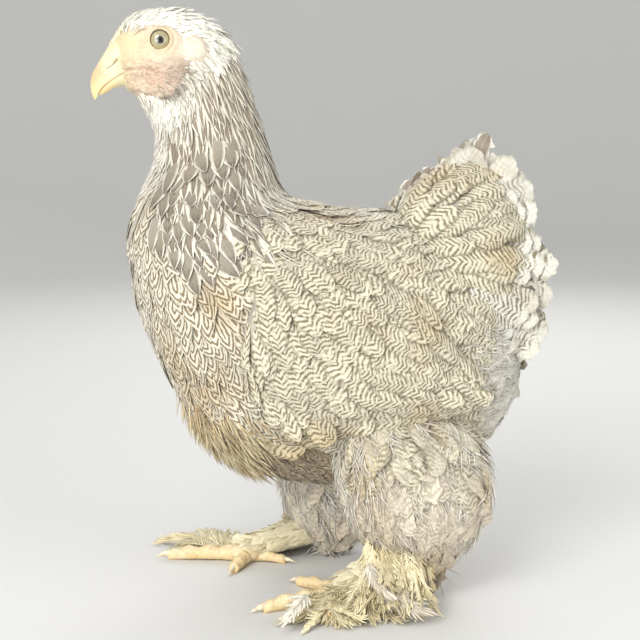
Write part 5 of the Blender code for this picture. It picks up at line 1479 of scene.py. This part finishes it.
def clawAt(leg, digit):
    ball, tip, way, length = toeLine(leg, digit)
    facts = toeSizes[digit]
    radius = facts["radius"] * .78 * .9
    base = radius * .86

    def at(g, h):
        rise = base + 1.0 + 2.0 * g - (base + 1.6) * g ** 2
        size = np.maximum(.35, radius * .80 * (1 - g) ** .75)
        t = h * 2 * math.pi
        middle = tip + way * (facts["claw"] * g - 3.0)[:, None]
        spot = middle + np.cross(way, (0, 0, 1)) * (size * .8 * np.cos(t))[:, None]
        spot[:, 2] = np.maximum(rise + size * np.sin(t), .1)
        return spot
    return at


def feet():
    scaly, tree, shader = newMaterial("toe_scale", 0.45, Subsurface_Weight=0.06, Specular_IOR_Level=0.4)
    shader.inputs["Subsurface Radius"].default_value = (.003, .002, .001)
    spot = addNode(tree, "ShaderNodeTexCoord").outputs["Object"]
    fine = addNode(tree, "ShaderNodeTexNoise", {"Vector": spot, "Scale": 300.0, "Detail": 5.0}).outputs[0]
    patchy = addNode(tree, "ShaderNodeTexNoise", {"Vector": spot, "Scale": 70.0, "Detail": 2.0}).outputs[0]
    high = fade(tree, addNode(tree, "ShaderNodeSeparateXYZ", {0: spot}).outputs[2], .002, .010)
    colour = blend(tree, fade(tree, patchy, .35, .65), (0.84, 0.62, 0.30), (0.84, 0.68, 0.42))
    colour = blend(tree, maths(tree, "MULTIPLY", high, .3), colour, (0.86, 0.78, 0.56))
    colour = blend(tree, maths(tree, "MULTIPLY", fade(tree, fine, .5, .75), .45), colour, (0.45, 0.28, 0.14))
    tree.links.new(colour, shader.inputs["Base Color"])
    cells = addNode(tree, "ShaderNodeTexVoronoi", {"Vector": spot, "Scale": 420.0}).outputs["Distance"]
    bumped(tree, shader, maths(tree, "ADD", fine, cells), .35, .6)
    nail, tree, shader = newMaterial("claw_horn", 0.3, Coat_Weight=0.2, Coat_Roughness=0.25)
    spot = addNode(tree, "ShaderNodeTexCoord").outputs["Object"]
    grain = addNode(tree, "ShaderNodeTexNoise", {"Vector": spot, "Scale": 350.0, "Detail": 4.0}).outputs[0]
    colour = blend(tree, fade(tree, grain, .4, .7), (0.86, 0.78, 0.58), (0.62, 0.46, 0.28))
    tree.links.new(colour, shader.inputs["Base Color"])
    bumped(tree, shader, grain, .2)
    for word, leg in legs.items():
        for digit in toeSizes:
            wrapGrid(f"toe_{digit}_{word}_scales", 110, 40, toeAt(leg, digit), scaly, (f"toe_{digit}_{word}",))
            wrapGrid(f"claw_{digit}_{word}_horn", 24, 20, clawAt(leg, digit), nail, (f"claw_{digit}_{word}",))
        bm = bmesh.new()
        bmesh.ops.create_uvsphere(bm, u_segments=40, v_segments=24, radius=millimetre)
        bmesh.ops.scale(bm, vec=(14, 12.5, 8.3), verts=bm.verts)
        middle = np.array((leg["ball"][0] - 3, leg["side"] * leg["ball"][1], 8.3)) + partOrigin
        bmesh.ops.translate(bm, vec=middle * millimetre, verts=bm.verts)
        bmeshPiece("foot_pad_" + word, bm, scaly)


footSprays = {
    # rows down the shank: share of the way to the ball, distance out from its middle, feathers, first and last heading
    # outwards from the front in degrees, rise in degrees, length, width
    "rows": [(.02, 13, 6, 16, 84, -78, 36, 15), (.18, 13, 7, 12, 92, -70, 40, 15), (.34, 11, 8, 16, 100, -60, 42, 16),
             (.50, 9, 8, 22, 108, -48, 44, 16), (.66, 7, 8, 28, 116, -34, 48, 17), (.82, 6, 8, 34, 124, -20, 52, 18),
             (.96, 5, 8, 42, 126, -6, 54, 18)],
    # toe, first and last share of it, feathers, how far they turn outwards
    "toes": [("middle", .04, .40, 4, (34, 60)), ("outer", .06, .80, 8, (24, 48)), ("outer", .2, .9, 5, (-24, -46))],
    "toeLength": 34, "toeWidth": 15, "barbs": 40,
    # a few that are still whole: place along x from the hock, how far out, height, heading, rise, length, width
    "whole": {"left": [(-50, 38, 27, 134, -34, 42, 21), (-52, 33, 42, 112, -62, 32, 15), (-97, 40, 20, 60, -12, 34, 14)],
              "right": []},
    # the column of matted ones outside the hock: first and last place along x from it, how far out, height over it, feathers
    "column": [(-44, -14, 12, 18, 8), (-46, -12, 18, 12, 9), (-48, -12, 24, 6, 9), (-42, -14, 6, 22, 8), (-48, -16, 28, 0, 8)],
}


def legSprays(leg, word, patch):
    # frayed feathers that hang round the shank's outer side and lie out over the two outer toes
    draw = np.random.default_rng(50 + leg["side"])
    hock, ball = (np.array((v[0], leg["side"] * v[1], v[2]), float) for v in (leg["hock"], leg["ball"]))
    rows = []

    def add(root, heading, rise, length, width):
        rows.append((*root, *heading, math.radians(rise), length, width))

    for share, out, count, first, last, rise, length, width in footSprays["rows"]:
        for heading in np.linspace(first, last, count):
            angle = math.radians(heading + draw.uniform(-9, 9))
            way = np.array((-math.cos(angle), leg["side"] * math.sin(angle), 0))
            front = 1 - .35 * smoothStep(heading, 60, 20)
            add(hock + (ball - hock) * share + way * out, way, rise + draw.uniform(-10, 10), length * front * draw.uniform(.8, 1.12),
                width * draw.uniform(.8, 1.2))
    for first, last, out, over, count in footSprays["column"]:
        # the other leg's stand closer to its back
        for place in np.linspace(first + (14 if leg["side"] > 0 else 0), last, count):
            angle = math.radians(90 + (place + 18) * draw.uniform(.2, 2.2))
            root = hock + np.array((place + draw.uniform(-3, 3), leg["side"] * out, over))
            add(root, np.array((-math.cos(angle), leg["side"] * math.sin(angle), 0)), draw.uniform(-87, -70),
                (hock[2] + over) * draw.uniform(.7, 1.0), 12 * draw.uniform(.8, 1.2))
    for digit, first, last, count, turns in footSprays["toes"]:
        start, tip, way, length = toeLine(leg, digit)
        for f in np.linspace(first, last, count):
            for turn in turns:
                angle = math.radians(turn + draw.uniform(-9, 9)) * -leg["side"]
                ahead = np.array((way[0] * math.cos(angle) - way[1] * math.sin(angle),
                                  way[0] * math.sin(angle) + way[1] * math.cos(angle), 0))
                add(start + (tip - start) * f + np.array((0, 0, toeSizes[digit]["radius"] * 1.5)), ahead, draw.uniform(0, 12),
                    footSprays["toeLength"] * draw.uniform(.7, 1.15), footSprays["toeWidth"] * draw.uniform(.8, 1.2))
    for place, out, z, heading, rise, length, width in footSprays["whole"][word]:
        angle = math.radians(heading)
        add(np.array((hock[0] + place, hock[1] + leg["side"] * out, z)),
            np.array((-math.cos(angle), leg["side"] * math.sin(angle), 0)), rise, length, width)
    facts = np.array(rows)
    roots, headings, rises, lengths, wide = facts[:, :3], facts[:, 3:6], facts[:, 6], facts[:, 7], facts[:, 8]
    count = len(roots)
    v = np.linspace(0, 1, 9)
    reach = lengths[:, None] * v
    # hanging feathers swing outwards as they near the floor
    rise = rises[:, None] * (1 - .5 * v)
    spines = roots[:, None] + headings[:, None] * (reach * np.cos(rise))[..., None]
    droop = draw.uniform(.08, .26, count)[:, None]
    spines[..., 2] += reach * np.sin(rise) - droop * reach * v
    acrossWay = np.cross(headings, (0, 0, 1))
    spines += acrossWay[:, None] * (draw.normal(0, .14, count)[:, None] * reach * v)[..., None]
    least = 1.5 + draw.uniform(0, 6, count)[:, None] * (1 - v * .5)
    spines[..., 2] = np.maximum(spines[..., 2], least)
    ahead = unit(np.gradient(spines, axis=1))
    normals = unit(np.cross(acrossWay[:, None], ahead))
    normals = np.where(normals[..., 2:] < 0, -normals, normals)
    normals = unit(normals + acrossWay[:, None] * draw.normal(0, .26, count)[:, None, None])
    own = draw.uniform(0, 1, count)
    # a few are still whole and clean, their faces outwards
    whole = np.arange(count) >= count - len(footSprays["whole"][word])
    normals[whole] = unit(normals[whole] + np.array((0, 1.3 * leg["side"], 0)))
    cores = {"length": lengths * .9, "width": wide * .24, "random": own, "shade": draw.uniform(.2, .5, count)}
    look = {"outline": "leaf", "across": 5, "dome": .14, "thick": .4, "ragged": .25, "seed": 51}
    pieces = [freeVanes("foot_vanes_" + word, spines, normals, cores, look, patch, footFeather)]
    # barbs in locks: each leaves the core, and its end leans to the end of its lock
    side = unit(np.cross(normals, ahead))
    paths, upward, widths, sizes, tone = [], [], [], [], []
    places = np.linspace(.8, 8, footSprays["barbs"] // 2)
    locks = 4
    for sign in (-1, 1):
        lockLean = draw.normal(0, 9, (locks + 1, count))
        for k, place in enumerate(places):
            low = int(min(place, 7))
            f = place - low
            base = spines[:, low] * (1 - f) + spines[:, low + 1] * f
            lock = int(k / len(places) * locks)
            middle = (lock + .5) / locks * 7.2 + .8
            frayed = lockLean[lock] - (place - middle) * 5 + draw.normal(0, 3, count)
            spread = np.radians(40 - 26 * place / 8 + frayed * np.where(whole, .35, 1))[:, None]
            way = unit(ahead[:, low] * np.cos(spread) + side[:, low] * sign * np.sin(spread))
            size = wide * (1.05 - .25 * place / 8) * draw.uniform(.7, 1.2, count)
            w = np.linspace(0, 1, 5)
            path = base[:, None] + way[:, None] * (size[:, None] * w)[..., None]
            lifted = (draw.normal(.8, .9, count) + lockLean[lock] * .18) * np.where(whole, .3, 1)
            path += normals[:, low][:, None] * (lifted[:, None] * w ** 2 + 2.5 * whole[:, None])[..., None]
            path += side[:, low][:, None] * (sign * draw.normal(-1.6, .8, count)[:, None] * w ** 2)[..., None]
            path[..., 2] = np.maximum(path[..., 2], .8)
            paths.append(path)
            upward.append(normals[:, low])
            widths.append(draw.uniform(1.0, 2.3, count) * np.where(whole, 1.5, 1))
            sizes.append(size)
            tone.append(np.clip(own + lockLean[lock] * .02 + draw.normal(0, .1, count), 0, 1))
    paths, upward = np.concatenate(paths), np.concatenate(upward)
    strands = {"length": np.concatenate(sizes), "width": np.concatenate(widths), "random": np.concatenate(tone),
               "shade": np.full(len(paths), .5), "tilt": draw.normal(0, .5, len(paths))}
    clean = np.tile(whole, len(sizes))
    for name, some, material in (("foot_barbs_", ~clean, footDown), ("foot_clean_", clean, greyDown)):
        if some.any():
            pieces.append(freeStrands(name + word, paths[some], upward[some], picked(strands, some), {"flat": .3}, patch, material))
    return pieces


def shankCoats():
    pieces = []
    for word, leg in legs.items():
        row = .50 if leg["side"] < 0 else .62
        bed = shankBed(leg, (.80, row, .18, .10))
        draw = np.random.default_rng(60 + leg["side"])
        s, t = plant(bed, 5.0, 4.6, (-.15, .90), (0, 2 * math.pi), 61 + leg["side"], .4)
        roots = rootsOf(s, t, draw, 20, 8, 4.2, spread=.3, tilt=.2, vary=.3)
        roots["shade"] = draw.uniform(0, .2, len(s))
        look = {"outline": "leaf", "rows": 6, "across": 3, "sink": .8, "dome": .1, "thick": .4, "ragged": .2, "seed": 38}
        pieces.append(vaneCoat("coat_shank_" + word, bed, roots, look, footFeather))
        s, t = plant(bed, 3.4, 3.4, (-.15, .97), (0, 2 * math.pi), 63 + leg["side"], .5)
        fluff = rootsOf(s, t, draw, 16, 1.8, 5.0, spread=.4, bend=.2, tilt=.6, vary=.35)
        pieces.append(strandCoat("down_shank_" + word, bed, fluff, {"rings": 3, "sink": .4, "flat": .5, "wave": .1, "rise": 1.1}, footDown))
        pieces += legSprays(leg, word, (.80, row + .24, .18, .10))
    return pieces


print("coats")
bodyCoats()
neckCoats()
headCoat()
wingCoats()
tailCoats()
mainTail()
thighCoats()
shankCoats()
print("skin, head and feet")
skin()
beakPieces()
eyePieces()
combPiece()
feet()


# the stage

studioLook = {
    "world": (0.92, 0.91, 0.885), "worldStrength": 0.66, "floorColour": (0.72, 0.72, 0.71),
    "floorRadius": 2.2, "sweep": 1.2, "wallTop": 3.2,
    # name, place, size, power
    "lights": (("key", (-0.9, -1.4, 1.3), 1.0, 24), ("fill", (1.3, -1.3, 0.7), 1.4, 11), ("rim", (0.5, 1.4, 1.4), 1.2, 15),
               ("low", (-0.9, -1.5, 0.2), 0.9, 18)),
    "lens": 84.375, "sensor": 36, "eye": (-0.1744, -1.1743, 0.379), "aim": (-.009, .0025, .212),
}


def studio():
    bpy.context.scene.view_settings.view_transform = "Standard"
    world = bpy.data.worlds.new("studio")
    bpy.context.scene.world = world
    world.use_nodes = True
    world.node_tree.nodes["Background"].inputs[0].default_value = (*studioLook["world"], 1)
    world.node_tree.nodes["Background"].inputs[1].default_value = studioLook["worldStrength"]
    for name, spot, size, power in studioLook["lights"]:
        light = bpy.data.lights.new(name, "AREA")
        light.size, light.energy = size, power
        lamp = bpy.data.objects.new(name, light)
        lamp.location = spot
        lamp.rotation_euler = (Vector((0, 0, .22)) - Vector(spot)).to_track_quat("-Z", "Y").to_euler()
        bpy.context.scene.collection.objects.link(lamp)
    # a round floor that sweeps up into a wall
    bm = bmesh.new()
    flat, bend, top = studioLook["floorRadius"], studioLook["sweep"], studioLook["wallTop"]
    profile = [(0, 0), (flat, 0)]
    profile += [(flat + bend * math.sin(a), bend - bend * math.cos(a)) for a in np.linspace(.1, math.pi / 2, 12)] + [(flat + bend, top)]
    line = [bm.verts.new((x, 0, z)) for x, z in profile]
    rib = [bm.edges.new(pair) for pair in zip(line, line[1:])]
    bmesh.ops.spin(bm, geom=line + rib, cent=(0, 0, 0), axis=(0, 0, 1), angle=2 * math.pi, steps=72, use_merge=True)
    bmesh.ops.remove_doubles(bm, verts=bm.verts, dist=1e-5)
    bmesh.ops.recalc_face_normals(bm, faces=bm.faces)
    for polygon in bm.faces:
        polygon.smooth = True
    mesh = bpy.data.meshes.new("floor")
    bm.to_mesh(mesh)
    bm.free()
    floor = bpy.data.objects.new("floor", mesh)
    material, tree, shader = newMaterial("floor", 0.8)
    shader.inputs["Base Color"].default_value = (*studioLook["floorColour"], 1)
    mesh.materials.append(material)
    bpy.context.scene.collection.objects.link(floor)
    camera = bpy.data.cameras.new("camera")
    camera.lens, camera.sensor_width = studioLook["lens"], studioLook["sensor"]
    eye = bpy.data.objects.new("camera", camera)
    eye.location = studioLook["eye"]
    eye.rotation_euler = (Vector(studioLook["aim"]) - eye.location).to_track_quat("-Z", "Y").to_euler()
    bpy.context.scene.collection.objects.link(eye)
    bpy.context.scene.camera = eye


studio()
